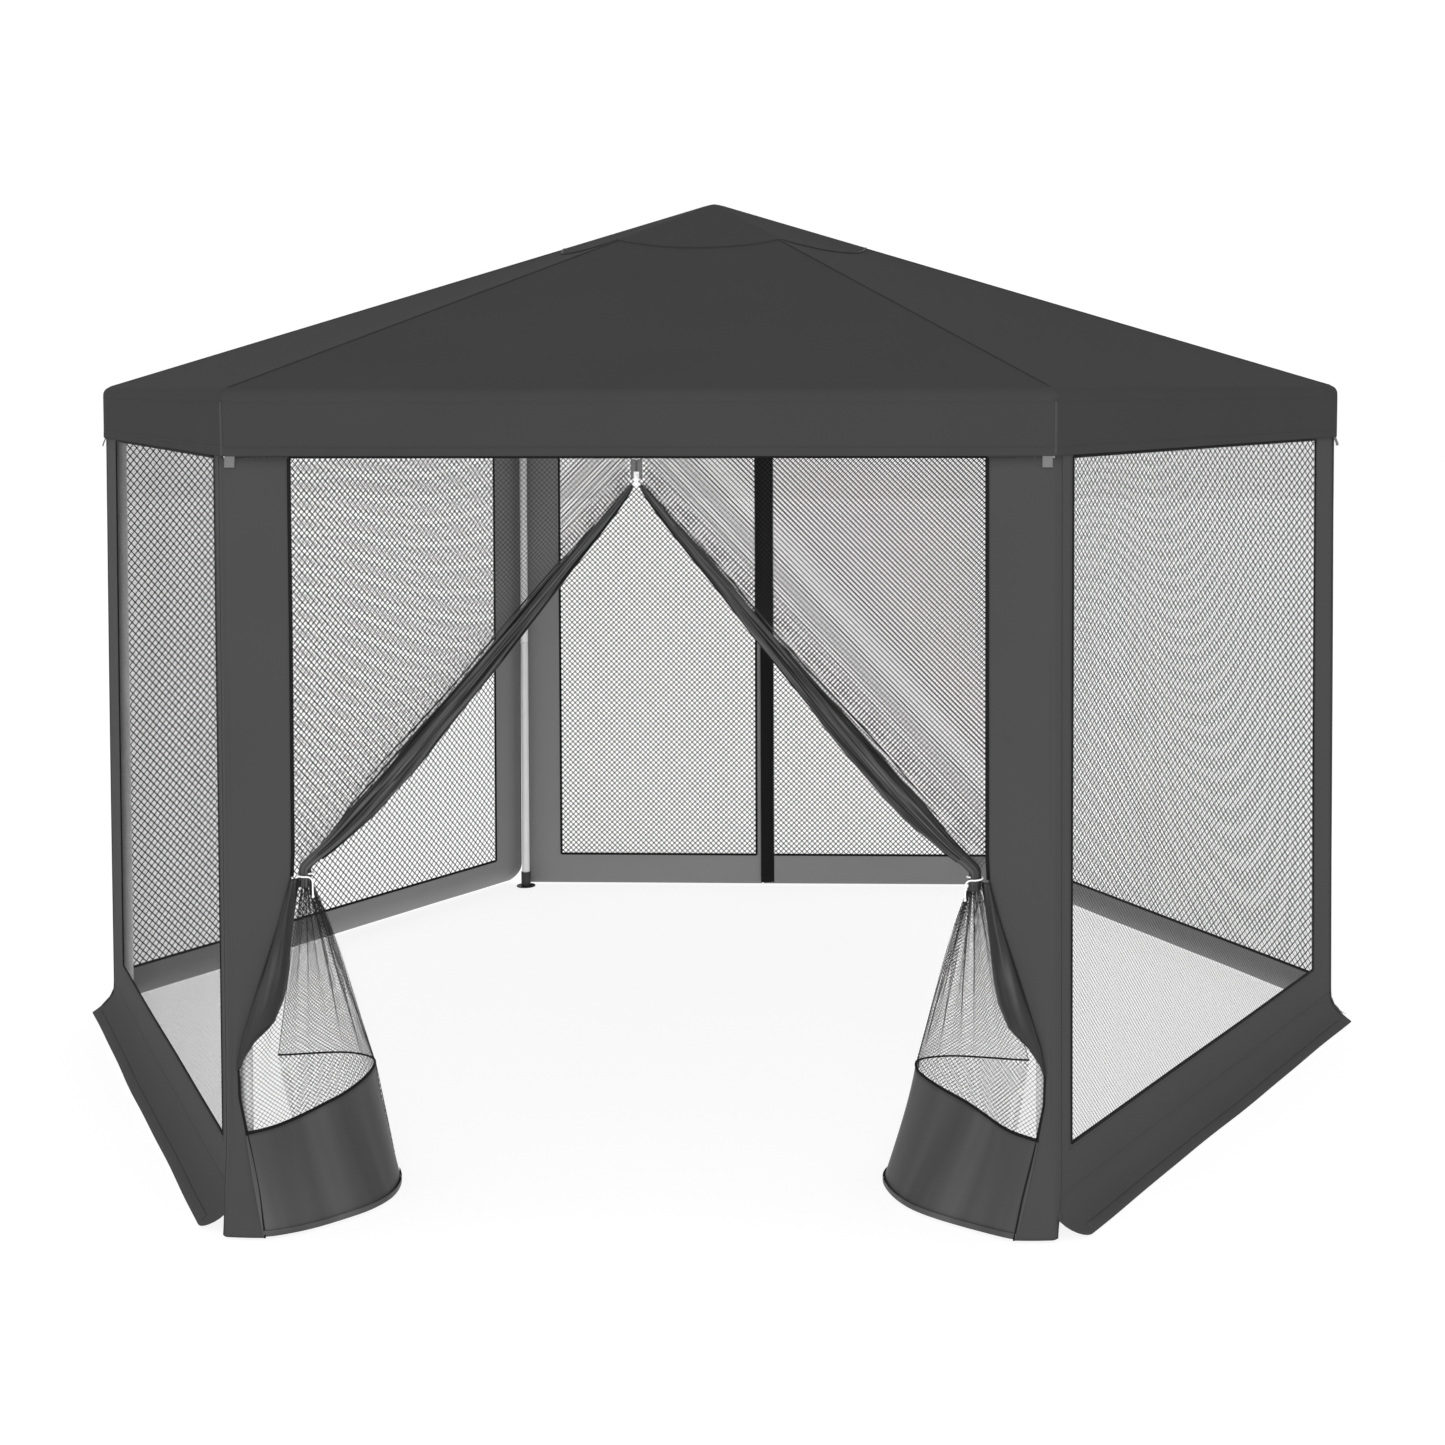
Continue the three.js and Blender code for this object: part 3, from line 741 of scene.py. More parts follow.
def roof_height(x, y):
    """The roof's outer surface: six planes, a little slack between the rafters, a soft peak."""
    best = None
    for k in range(6):
        a = math.radians(30 + 60 * k)
        d = x * math.cos(a) + y * math.sin(a)
        t = -x * math.sin(a) + y * math.cos(a)
        best = (d, t) if best is None else (np.where(d > best[0], d, best[0]), np.where(d > best[0], t, best[1]))
    d, t = best
    u = np.clip(np.abs(t) / np.maximum(d * math.tan(math.pi / 6), 1e-6), 0, 1)
    v = np.clip(d / APO, 0, 1)
    slack = 0.010 * (1 - u ** 2) * np.sin(math.pi * np.clip(v, 0, 1)) ** 0.8
    ripple = 0.0016 * (1 - u) * np.sin(5.2 * t + 3 * d) * np.sin(math.pi * v)
    soft = 0.003 * np.exp(-(np.hypot(x, y) / 0.012) ** 2)
    return PEAK - KP * d - slack + ripple - soft


NS, NA = 31, 5
R_E = 0.028
alpha = math.atan(KP)
d_s = APO - R_E + R_E * math.sin(alpha)
zc = PEAK - KP * d_s - R_E * math.cos(alpha)
rows, uvrow = [], []
for d in np.r_[0.004, 0.012, 0.03, 0.06, 0.1, np.linspace(0.15, d_s, 46)]:
    xy = hex_ring(d, min(0.006, d * 0.4), NS, NA)
    rows.append(np.c_[xy, roof_height(xy[:, 0], xy[:, 1])])
    uvrow.append(d)
length = d_s
for q in np.linspace(0, 1, 9)[1:]:
    b = math.pi / 2 - alpha - q * (math.pi / 2 - alpha)
    d = APO - R_E + R_E * math.cos(b)
    z = zc + R_E * math.sin(b)
    xy = hex_ring(d, 0.006 + 0.012 * q, NS, NA)
    rows.append(np.c_[xy, np.full(len(xy), z)])
    length += R_E * (math.pi / 2 - alpha) / 8
    uvrow.append(length)


def valance_wave(xy, z):
    a = np.arctan2(xy[:, 1], xy[:, 0])
    q = (EAVE - z) / (EAVE - VAL)
    return 1 - 0.0010 * q * (0.5 + 0.5 * np.sin(23 * a + 0.7)) - 0.0006 * q * np.sin(41 * a)


zs = np.linspace(zc, VAL, 16)
for z in zs[1:]:
    xy = hex_ring(APO - 0.0005, 0.018, NS, NA)
    xy = xy * valance_wave(xy, z)[:, None]
    rows.append(np.c_[xy, np.full(len(xy), z)])
    uvrow.append(length + (zc - z))
nr = len(rows[0])
V = np.vstack(rows)
faces = [list(map(int, f)) for f in grid_faces(nr, len(rows), wrap=True)]
top_i = len(V)
V = np.vstack([V, [[0, 0, float(roof_height(np.array([0.0]), np.array([0.0]))[0]) + 0.0005]]])
for i in range(nr):
    faces.append([top_i, i, (i + 1) % nr])
ang = np.unwrap(np.arctan2(rows[-1][:, 1], rows[-1][:, 0]))
uv = np.vstack([np.c_[ang * d * 0 + ang * 1.9, np.full(nr, d)] for d in uvrow] + [[[0, 0]]])
canopy = mesh_obj("canopy_cloth", V, faces, M_ROOF, uv)
fix_normals(canopy)
solidify(canopy, 0.0012, -1, M_INNER_GLOW)
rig.replaces(canopy, "roof_canopy")

canopy_bits = []
for k in range(6):
    # welted hip seams from the cap to the eave, and down the valance corner
    a = math.radians(60 * k)
    dirv = np.array([math.cos(a), math.sin(a)])
    r = np.linspace(0.03, (d_s - 0.004) / C30, 60)
    z = roof_height(r * dirv[0], r * dirv[1])
    P = np.c_[r[:, None] * dirv, z + 0.0002]
    P = np.vstack([P, [[*(dirv * ((APO - 0.006) / C30 - 0.0015)), zc + 0.010]], [[*(dirv * (APO / C30 - 0.0030)), zc - 0.006]]])
    Nn = np.gradient(P, axis=0)
    Nn /= np.linalg.norm(Nn, axis=1)[:, None]
    side = np.array([-dirv[1], dirv[0], 0])
    Nn = np.cross(Nn, side)
    canopy_bits.append(ribbon(f"hip_seam_{k}", P, Nn, 0.010, 0.0009, M_ROOF, crown=0.3))
# the round cap sewn over the peak
cap_r = 0.490
th = np.linspace(0, 2 * math.pi, 145)[:-1]
cap_rows = []
for rr in np.r_[0.004, 0.012, 0.03, np.linspace(0.06, cap_r, 20), cap_r + 0.0006]:
    x, y = rr * np.cos(th), rr * np.sin(th)
    lift = 0.0024 if rr <= cap_r else 0.0002
    cap_rows.append(np.c_[x, y, roof_height(x, y) + lift])
V = np.vstack(cap_rows + [[[0, 0, float(roof_height(np.array([0.0]), np.array([0.0]))[0]) + 0.0030]]])
faces = [list(map(int, f)) for f in grid_faces(len(th), len(cap_rows), wrap=True)] + [[len(V) - 1, i, (i + 1) % len(th)] for i in range(len(th))]
cap = fix_normals(mesh_obj("peak_cap", V, faces, M_ROOF, V[:, :2]))
solidify(cap, 0.0010, -1)
x, y = (cap_r - 0.004) * np.cos(th), (cap_r - 0.004) * np.sin(th)
Pc = np.c_[x, y, roof_height(x, y) + 0.0024]
cap_hem = ribbon("cap_hem", Pc, (0, 0, 1), 0.008, 0.0009, M_HEM, closed=True)
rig.sheet(cap, flat=(0.99, 0.99), held="stretched", rests_on=[canopy], area=math.pi * 0.49 ** 2, with_pieces=[cap_hem])

# eave seam and valance hem
def ring_path(d, rho, z, wave=True):
    xy = hex_ring(d, rho, NS, NA)
    if wave:
        xy = xy * valance_wave(xy, z)[:, None]
    return np.c_[xy, np.full(len(xy), z)]


P = ring_path(APO - 0.0005, 0.018, EAVE - 0.030)
n_out = np.c_[P[:, :2] / np.linalg.norm(P[:, :2], axis=1)[:, None], np.zeros(len(P))]
canopy_bits.append(ribbon("eave_seam", P, n_out, 0.004, 0.0004, M_ROOF, closed=True))
P = ring_path(APO - 0.0005, 0.018, VAL + 0.011)
canopy_bits.append(ribbon("valance_hem", P, n_out, 0.021, 0.0010, M_ROOF, closed=True))
P = ring_path(APO - 0.0005, 0.018, VAL + 0.021)
canopy_bits.append(ribbon("valance_stitch", P + n_out * 0.0006, n_out, 0.0012, 0.0005, M_STITCH, closed=True))
for k in range(6):
    a = math.radians(60 * k)
    z = np.linspace(zc - 0.004, VAL + 0.002, 12)
    dd = (APO - 0.0005 - 0.018) / C30 + 0.018
    w = np.array([valance_wave(np.array([[math.cos(a), math.sin(a)]]) * dd, zz)[0] for zz in z])
    P = np.c_[math.cos(a) * dd * w, math.sin(a) * dd * w, z]
    canopy_bits.append(ribbon(f"valance_corner_seam_{k}", P, (math.cos(a), math.sin(a), 0), 0.007, 0.0012, M_HEM))
flat_area = 3 * math.sqrt(3) / 2 * SIDE ** 2 * math.sqrt(1 + KP ** 2) + 12 * (EAVE - VAL)
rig.sheet(canopy, flat=(4.3, 3.9), held="stretched", rests_on=["roof_hub"] + [f"tube_rafter_{c}" for c in CORNERS], area=flat_area, with_pieces=canopy_bits)


# ------------------------------------------------------------------ walls
def frame_of(deg):
    a = math.radians(deg)
    return np.array([math.cos(a), math.sin(a), 0.0]), np.array([-math.sin(a), math.cos(a), 0.0])


def wall_map(deg, skirt, seed, inset=0.001, corner=0.016, billow=0.004, round_end=0):
    """place(u, z): points and outward normals on a hanging wall."""
    n, t = frame_of(deg)

    def offset(u, z):
        o = np.zeros_like(u)
        if skirt:
            q = np.clip((0.088 - z) / 0.083, 0, 1)
            o = o + 0.068 * q ** 2.1
            # the skirt ruffles a little along its length
            o = o + 0.0013 * q ** 1.5 * (np.sin(6.3 * u + seed) + 0.5 * np.sin(14 * u + 2.1 * seed))
        o = o + 0.0012 * np.sin(2.6 * u + 1.7 * z + seed) + 0.0005 * np.sin(7.1 * u - 2.3 * z + 2 * seed)
        o = o - billow * np.sin(math.pi * np.clip((u + HALF) / (2 * HALF), 0, 1)) * np.sin(math.pi * np.clip(z / WTOP, 0, 1)) * 0.5
        # the ends round off towards the corner
        e = HALF - np.abs(u)
        o = o - np.where(e < corner, (corner - e) ** 2 / corner * 0.35, 0) * (1 if not skirt else 1 - 0.5 * np.clip((0.09 - z) / 0.09, 0, 1))
        return o - inset

    def place(u, z):
        u, z = np.asarray(u, float), np.asarray(z, float)
        if round_end:
            # the skirt's lower corner is cut round
            e = np.clip((HALF - round_end * u) / 0.075, 0, 1)
            k = 1 - np.sqrt(np.clip(1 - (1 - e) ** 2, 0, 1))
            z = z + np.clip(0.085 - z, 0, None) * 0.85 * k
        h = 0.002
        o = offset(u, z)
        du, dz = (offset(u + h, z) - o) / h, (offset(u, z + h) - o) / h
        P = n * (WY + o)[..., None] + t * u[..., None] + np.array([0, 0, 1.0]) * z[..., None]
        Nn = n - du[..., None] * t - dz[..., None] * np.array([0, 0, 1.0])
        return P, Nn / np.linalg.norm(Nn, axis=-1)[..., None]
    return place


def axis_points(lo, hi, stops, fine, coarse):
    """Grid lines from lo to hi through every stop."""
    pts = sorted({lo, hi, *[s for s in stops if lo < s < hi]})
    out = [pts[0]]
    for a, b in zip(pts, pts[1:]):
        n = max(1, int(math.ceil((b - a) / (fine if b - a < 0.25 else coarse))))
        out += list(np.linspace(a, b, n + 1)[1:])
    return np.array(out)


PITCH_F, PITCH_R = 0.0125, 0.0214
WIDTH_F, WIDTH_R = 0.00132, 0.0036


def wall(name, nodes, deg, skirt, u0, u1, window, z0, seed, pitch, width, round_end=0):
    ua, ub, za, zb = window
    place = wall_map(deg, skirt, seed, round_end=round_end)
    us = axis_points(u0, u1, [ua, ub, -HALF + 0.022, HALF - 0.022], 0.012, 0.03)
    zs = axis_points(z0, WTOP, [za, zb, 0.088, 0.03], 0.008, 0.04)
    nu, nz = len(us), len(zs)
    U, Z = np.meshgrid(us, zs)
    P, _ = place(U.ravel(), Z.ravel())
    inside = lambda i, j: (us[i] >= ua - 1e-6) & (us[np.minimum(i + 1, nu - 1)] <= ub + 1e-6) & (zs[j] >= za - 1e-6) & (zs[np.minimum(j + 1, nz - 1)] <= zb + 1e-6)
    F = grid_faces(nu, nz, skip=inside)
    V, F, UVs = compact(P, F, np.c_[U.ravel(), Z.ravel()])
    cloth = mesh_obj(f"{name}_cloth", V, F, M_WALL, UVs, slot="mesh_wall")
    cloth_area = float(sum(p.area for p in cloth.data.polygons))
    solidify(cloth, 0.0008, -1, M_INNER_GLOW)
    bits = []
    # black binding round the window
    for a, b, c, d in ((ua, za, ub, za), (ub, za, ub, zb), (ub, zb, ua, zb), (ua, zb, ua, za)):
        m = 40
        uu, zz = np.linspace(a, c, m), np.linspace(b, d, m)
        Pp, Nn = place(uu, zz)
        for side in (1, -1):
            bits.append(ribbon("binding", Pp + Nn * (0.0004 if side > 0 else -0.0014), Nn * side, 0.0085, 0.0011, M_TAPE, slot="mesh_wall"))
    # hem round the outside and stitch lines
    m = 80
    uu = np.linspace(u0 + (0.080 if round_end < 0 else 0.012), u1 - (0.080 if round_end > 0 else 0.012), m)
    Pp, Nn = place(uu, np.full(m, z0 + 0.010))
    bits.append(ribbon("foot_hem", Pp + Nn * 0.0002, Nn, 0.018, 0.0005, M_WALL, slot="mesh_wall"))
    if skirt:
        Pp, Nn = place(uu, np.full(m, 0.094))
        bits.append(ribbon("skirt_stitch", Pp + Nn * 0.0001, Nn, 0.0012, 0.0004, M_WALL, slot="mesh_wall"))
    for uo in (u0 + 0.010, u1 - 0.010):
        zz = np.linspace(z0 + 0.02, WTOP - 0.01, m)
        Pp, Nn = place(np.full(m, uo), zz)
        bits.append(ribbon("side_hem", Pp + Nn * 0.0002, Nn, 0.016, 0.0008, M_WALL, slot="mesh_wall"))
    for w in (-0.013, 0.013):
        for a, b, c, d in ((ua + w, za + w, ub - w, za + w), (ub - w, za + w, ub - w, zb), (ua + w, zb, ua + w, za + w)):
            if w > 0:
                continue
            Pp, Nn = place(np.linspace(a, c, m), np.linspace(b, d, m))
            bits.append(ribbon("stitch", Pp + Nn * 0.0001, Nn, 0.0012, 0.0004, M_STITCH, slot="mesh_wall"))
    trim = join(f"{name}_trim", bits)
    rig.ride(trim, "root")
    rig.slot(trim, "mesh_wall")
    g = 0.0035

    def flat(a, b):
        Pp, Nn = place(a, b)
        return Pp - Nn * 0.0006, Nn
    mesh_net, area = net(f"{name}_net", flat, None, (ua - g, ub + g, za - g, zb + g), pitch, width, 0.22)
    flat_w, flat_h = u1 - u0, WTOP - z0 + (0.04 if skirt else 0)
    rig.sheet(mesh_net, flat=(ub - ua, zb - za), held="hung", rests_on=[cloth], area=max(area, 0.3 * (ub - ua) * (zb - za)))
    full = flat_w * flat_h
    strips = cloth_area / 0.25
    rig.sheet(cloth, flat=(round(strips, 2), 0.25), held="hung", rests_on=["canopy_cloth"], with_pieces=[trim])
    for nd in nodes:
        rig.replaces(cloth, nd)
    return cloth, mesh_net


E = HALF - 0.004
WTZ = DOOR_TOP
wall("wall_front_right", ["wall_front_right"], 330, True, -E, E, (-HALF + 0.098, HALF - 0.180, 0.205, WTZ), 0.0055, 0.4, PITCH_F, WIDTH_F, round_end=-1)
wall("wall_front_left", ["wall_front_left"], 210, True, -E, E, (-HALF + 0.225, HALF - 0.110, 0.205, WTZ), 0.0055, 1.9, PITCH_F, WIDTH_F, round_end=1)
wall("wall_back_right", ["wall_back_right"], 30, True, -E, E, (-HALF + 0.040, HALF - 0.070, 0.125, WTZ), 0.0055, 3.1, 0.0262, 0.0037)
wall("wall_back_left", ["wall_back_left"], 150, True, -E, E, (-HALF + 0.155, HALF - 0.040, 0.125, WTZ), 0.0055, 4.6, 0.0262, 0.0040)
wall("back_leaf_left", ["back_door_leaf_left"], 90, False, 0.0024, E, (0.026, HALF - 0.165, 0.125, WTZ), 0.006, 5.5, PITCH_R, WIDTH_R)
wall("back_leaf_right", ["back_door_leaf_right"], 90, False, -E, -0.0024, (-HALF + 0.070, -0.026, 0.125, WTZ), 0.006, 5.5, PITCH_R, WIDTH_R)


# ------------------------------------------------------------------ zip tapes and teeth
def zip_side(name, side, z0, z1, yface, ydir, mat, tape_w, deg_front):
    """One half of a zip: tape on both faces of the cloth edge and a row of coil teeth."""
    bits = []
    n = max(8, int((z1 - z0) / 0.05))
    z = np.linspace(z0, z1, n)
    xm = side * (0.0024 + tape_w / 2)
    for out in (1, -1):
        y = yface + (0.00005 if out > 0 else -0.0020 - 0.00005) * ydir
        P = np.c_[np.full(n, xm), np.full(n, y), z]
        bits.append(ribbon("tape", P, (0, ydir * out, 0), tape_w, 0.00045, mat, slot="mesh_wall"))
    # moulded teeth, one block every 4 mm
    V, F, base = [], [], 0
    for zz in np.arange(z0 + (0.002 if side > 0 else 0.004), z1 - 0.002, 0.004):
        x0, x1 = -side * 0.0023, side * 0.0050
        ym, hy, hz = yface - 0.001 * ydir, 0.0009, 0.00192 / 2
        c = [(x, ym + sy * hy, zz + sz * hz) for x in (x0, x1) for sy in (-1, 1) for sz in (-1, 1)]
        V += c
        F += [[base + i for i in f] for f in ((0, 1, 3, 2), (4, 6, 7, 5), (0, 4, 5, 1), (2, 3, 7, 6), (0, 2, 6, 4), (1, 5, 7, 3))]
        base += 8
    bits.append(fix_normals(mesh_obj("teeth", V, F, M_PLASTIC, smooth=False, slot="mesh_wall")))
    o = join(name, bits)
    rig.ride(o, "root")
    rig.slot(o, "mesh_wall")
    return o


# a storm flap sewn inside the right leaf covers the back zip
zf = np.linspace(0.012, WTOP - 0.01, 60)
uf = np.linspace(0, 1, 10)
Uf, Zf = np.meshgrid(uf, zf)
xf = 0.0465 - 0.053 * Uf
yf = WY - 0.0036 - 0.0072 * smoothstep(Uf * 2.2) - 0.0006 * np.sin(5 * Zf + 3 * Uf)
flap = mesh_obj("back_zip_flap", np.c_[xf.ravel(), yf.ravel(), Zf.ravel()], grid_faces(10, 60), M_TAPE, np.c_[xf.ravel(), Zf.ravel()], slot="mesh_wall")
solidify(flap, 0.0009, 0)
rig.sheet(flap, flat=(0.054, 2.0), held="hung", rests_on=["back_leaf_right_cloth"])
zip_side("back_zip_left", -1, 0.012, WTOP - 0.01, WY, 1, M_TAPE, 0.024, False)
zip_side("back_zip_right", 1, 0.012, WTOP - 0.01, WY, 1, M_TAPE, 0.024, False)
zip_side("front_zip_left", -1, DOOR_TOP - 0.050, DOOR_TOP - 0.003, FY, -1, M_ZTAPE, 0.0115, True)
zip_side("front_zip_right", 1, DOOR_TOP - 0.050, DOOR_TOP - 0.003, FY, -1, M_ZTAPE, 0.0115, True)


# ------------------------------------------------------------------ front wall: header and the two strips that wrap the corners
def strip_edge(z):
    """Distance of the doorway strip's inner edge from the centre line, at height z."""
    return np.interp(z, [0.005, 0.10, 0.245, 0.33, 0.40, 0.47, 0.62, 0.76, 0.872, 0.93, 2.1],
                     [0.898, 0.918, 0.955, 0.972, 0.974, 0.962, 0.915, 0.868, 0.838, XIN, XIN])


def corner_path(side):
    """Plan curve of the front wall's end: along the wall, round the corner, a little way down the side wall."""
    R = 0.016
    c = np.array([HALF, FY])
    # side wall direction away from the front corner
    v = np.array([0.5, C30])
    h = R * math.tan(math.radians(30))
    p0, centre = c - np.array([h, 0]), c - np.array([h, 0]) + np.array([0, R])
    arc = [centre + R * np.array([math.sin(b), -math.cos(b)]) for b in np.radians(np.linspace(0, 60, 13))]
    tail = [arc[-1] + v * q for q in np.linspace(0.004, 0.026, 6)]
    return np.array(arc + tail)


def front_strip(side):
    name = "left" if side < 0 else "right"
    zs = axis_points(0.006, DOOR_TOP, [0.245, 0.40, 0.872], 0.012, 0.03)
    tail = corner_path(side)
    na = 14
    rows, uvs = [], []
    for z in zs:
        xi = float(strip_edge(z))
        x = xi + (tail[0, 0] - xi) * np.linspace(0, 1, na) ** 1.0
        P2 = np.vstack([np.c_[x, np.full(na, FY)], tail[1:]])
        d = np.r_[0, np.cumsum(np.linalg.norm(np.diff(P2, axis=0), axis=1))] + (xi - 0.8)
        q = (P2[:, 0] - xi) / max(1e-6, HALF - xi)
        # soft vertical folds, stronger low down where the cloth is pulled aside
        amp = 0.0012 + 0.005 * math.exp(-((z - 0.42) / 0.28) ** 2)
        y = -0.0012 - amp * np.sin(np.pi * np.clip(q, 0, 1)) * (0.6 + 0.4 * math.sin(3.0 * z + 1)) - 0.0010 * np.sin(7 * z + 9 * P2[:, 0])
        # under 0.25 m the strip leans out into the apron
        y = y - 0.003 * smoothstep(np.array((0.30 - z) / 0.3)) * (1 - np.clip(q, 0, 1))
        n2 = np.zeros_like(P2)
        n2[:, 1] = 1
        n2[na:, :] = -(tail[1:] - (tail[0] + np.array([0, 0.016])))
        n2[na:] /= np.linalg.norm(n2[na:], axis=1)[:, None]
        n2[na + 12:, :] = -np.array([C30, -0.5])
        off = np.where(np.arange(len(P2)) < na, y, -0.0024)
        if z < 0.12:
            # low down the wrapped end stops at the corner, clear of the skirt
            P2 = P2.copy()
            P2[na + 12:] = P2[na + 11] + (P2[na + 12:] - P2[na + 11]) * (0.12 + 0.88 * float(smoothstep(z / 0.12)))
        Q = P2 + n2 * off[:, None]
        # the foot stands a little forward
        Q[:, 1] -= (0.042 if side < 0 else 0.012) * max(0.0, (0.24 - z) / 0.24) ** 1.6
        rows.append(np.c_[side * Q[:, 0], Q[:, 1], np.full(len(Q), z)])
        uvs.append(np.c_[d, np.full(len(Q), z)])
    nu = len(rows[0])
    F = grid_faces(nu, len(rows))
    if side < 0:
        F = F[:, ::-1]
    o = mesh_obj(f"front_strip_{name}", np.vstack(rows), F, M_WALL, np.vstack(uvs))
    A = float(sum(p.area for p in o.data.polygons))
    solidify(o, 0.0009, -1, M_INNER_GLOW)
    rows = np.array(rows)
    bits = []
    # black binding down the inner edge, ending where the cloth folds over
    sel = zs > 0.86
    P = rows[sel, 0] - np.array([0, 0.0006, 0])
    bits.append(ribbon("bind", P, (0, -1, 0), 0.0085, 0.0012, M_TAPE))
    bits.append(ribbon("bind_in", P + np.array([0, 0.0018, 0]), (0, 1, 0), 0.0085, 0.0010, M_TAPE))
    # seam where the wrapped end is sewn to the side wall
    P = rows[:, -1] + np.array([side * C30, -0.5, 0]) * 0.0002
    bits.append(ribbon("end_seam", P, (side * C30, -0.5, 0), 0.005, 0.0010, M_STITCH))
    # seam between the strip and the apron band
    low = zs < 0.247
    P = rows[low, 0] - np.array([0, 0.0006, 0])
    bits.append(ribbon("band_seam", P, (0, -1, 0), 0.004, 0.0009, M_TAPE))
    mid = (zs > 0.24) & (zs < 0.405)
    P = rows[mid, 0] - np.array([0, 0.0006, 0])
    bits.append(ribbon("net_bind", P, (0, -1, 0), 0.007, 0.0012, M_TAPE))
    trim = join(f"front_strip_trim_{name}", bits)
    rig.ride(trim, "root")
    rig.slot(trim, "grey_cloth")
    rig.sheet(o, flat=(round(A / 1.874, 4), 1.874), held="hung", rests_on=["canopy_cloth"], with_pieces=[trim])
    return o


strips = [front_strip(-1), front_strip(1)]
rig.replaces(strips[0], "front_wall_frame")
# header hidden behind the valance
us = np.linspace(-HALF + 0.006, HALF - 0.006, 70)
zs = np.linspace(DOOR_TOP, WTOP, 8)
U, Z = np.meshgrid(us, zs)
P = np.c_[U.ravel(), FY + 0.0012 + 0.0008 * np.sin(6 * U.ravel()), Z.ravel()]
header = mesh_obj("front_header", P, grid_faces(len(us), len(zs)), M_WALL, np.c_[U.ravel(), Z.ravel()])
solidify(header, 0.0009, 1)
hb = []
xs = np.linspace(-XIN, XIN, 60)
for yo, ny in ((-0.0002, -1), (0.0024, 1)):
    hb.append(ribbon("header_bind", np.c_[xs, np.full(60, FY + yo), np.full(60, DOOR_TOP + 0.0030)], (0, ny, 0), 0.009, 0.0010, M_TAPE))
hb = join("header_binding", hb)
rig.ride(hb, "root")
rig.slot(hb, "grey_cloth")
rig.sheet(header, flat=(1.98, 0.142), held="hung", rests_on=["canopy_cloth"], with_pieces=[hb])


# ------------------------------------------------------------------ front curtains
ROLL = np.array([[0.010, 1.814], [0.015, 1.806], [0.100, 1.700], [0.198, 1.582], [0.288, 1.470], [0.400, 1.335], [0.600, 1.100],
                 [0.735, 0.958], [0.790, 0.910], [0.806, 0.892], [0.8065, 0.881], [0.806, 0.862], [0.807, 0.846]])
ROLL_R = ([0, 0.03, 0.12, 0.3, 0.5, 0.68, 0.80, 0.885, 0.935, 0.955, 1], [0.004, 0.008, 0.0118, 0.0170, 0.0235, 0.0285, 0.0285, 0.0185, 0.0138, 0.0132, 0.0135])
YM = FY + 0.001                      # middle of the cloth


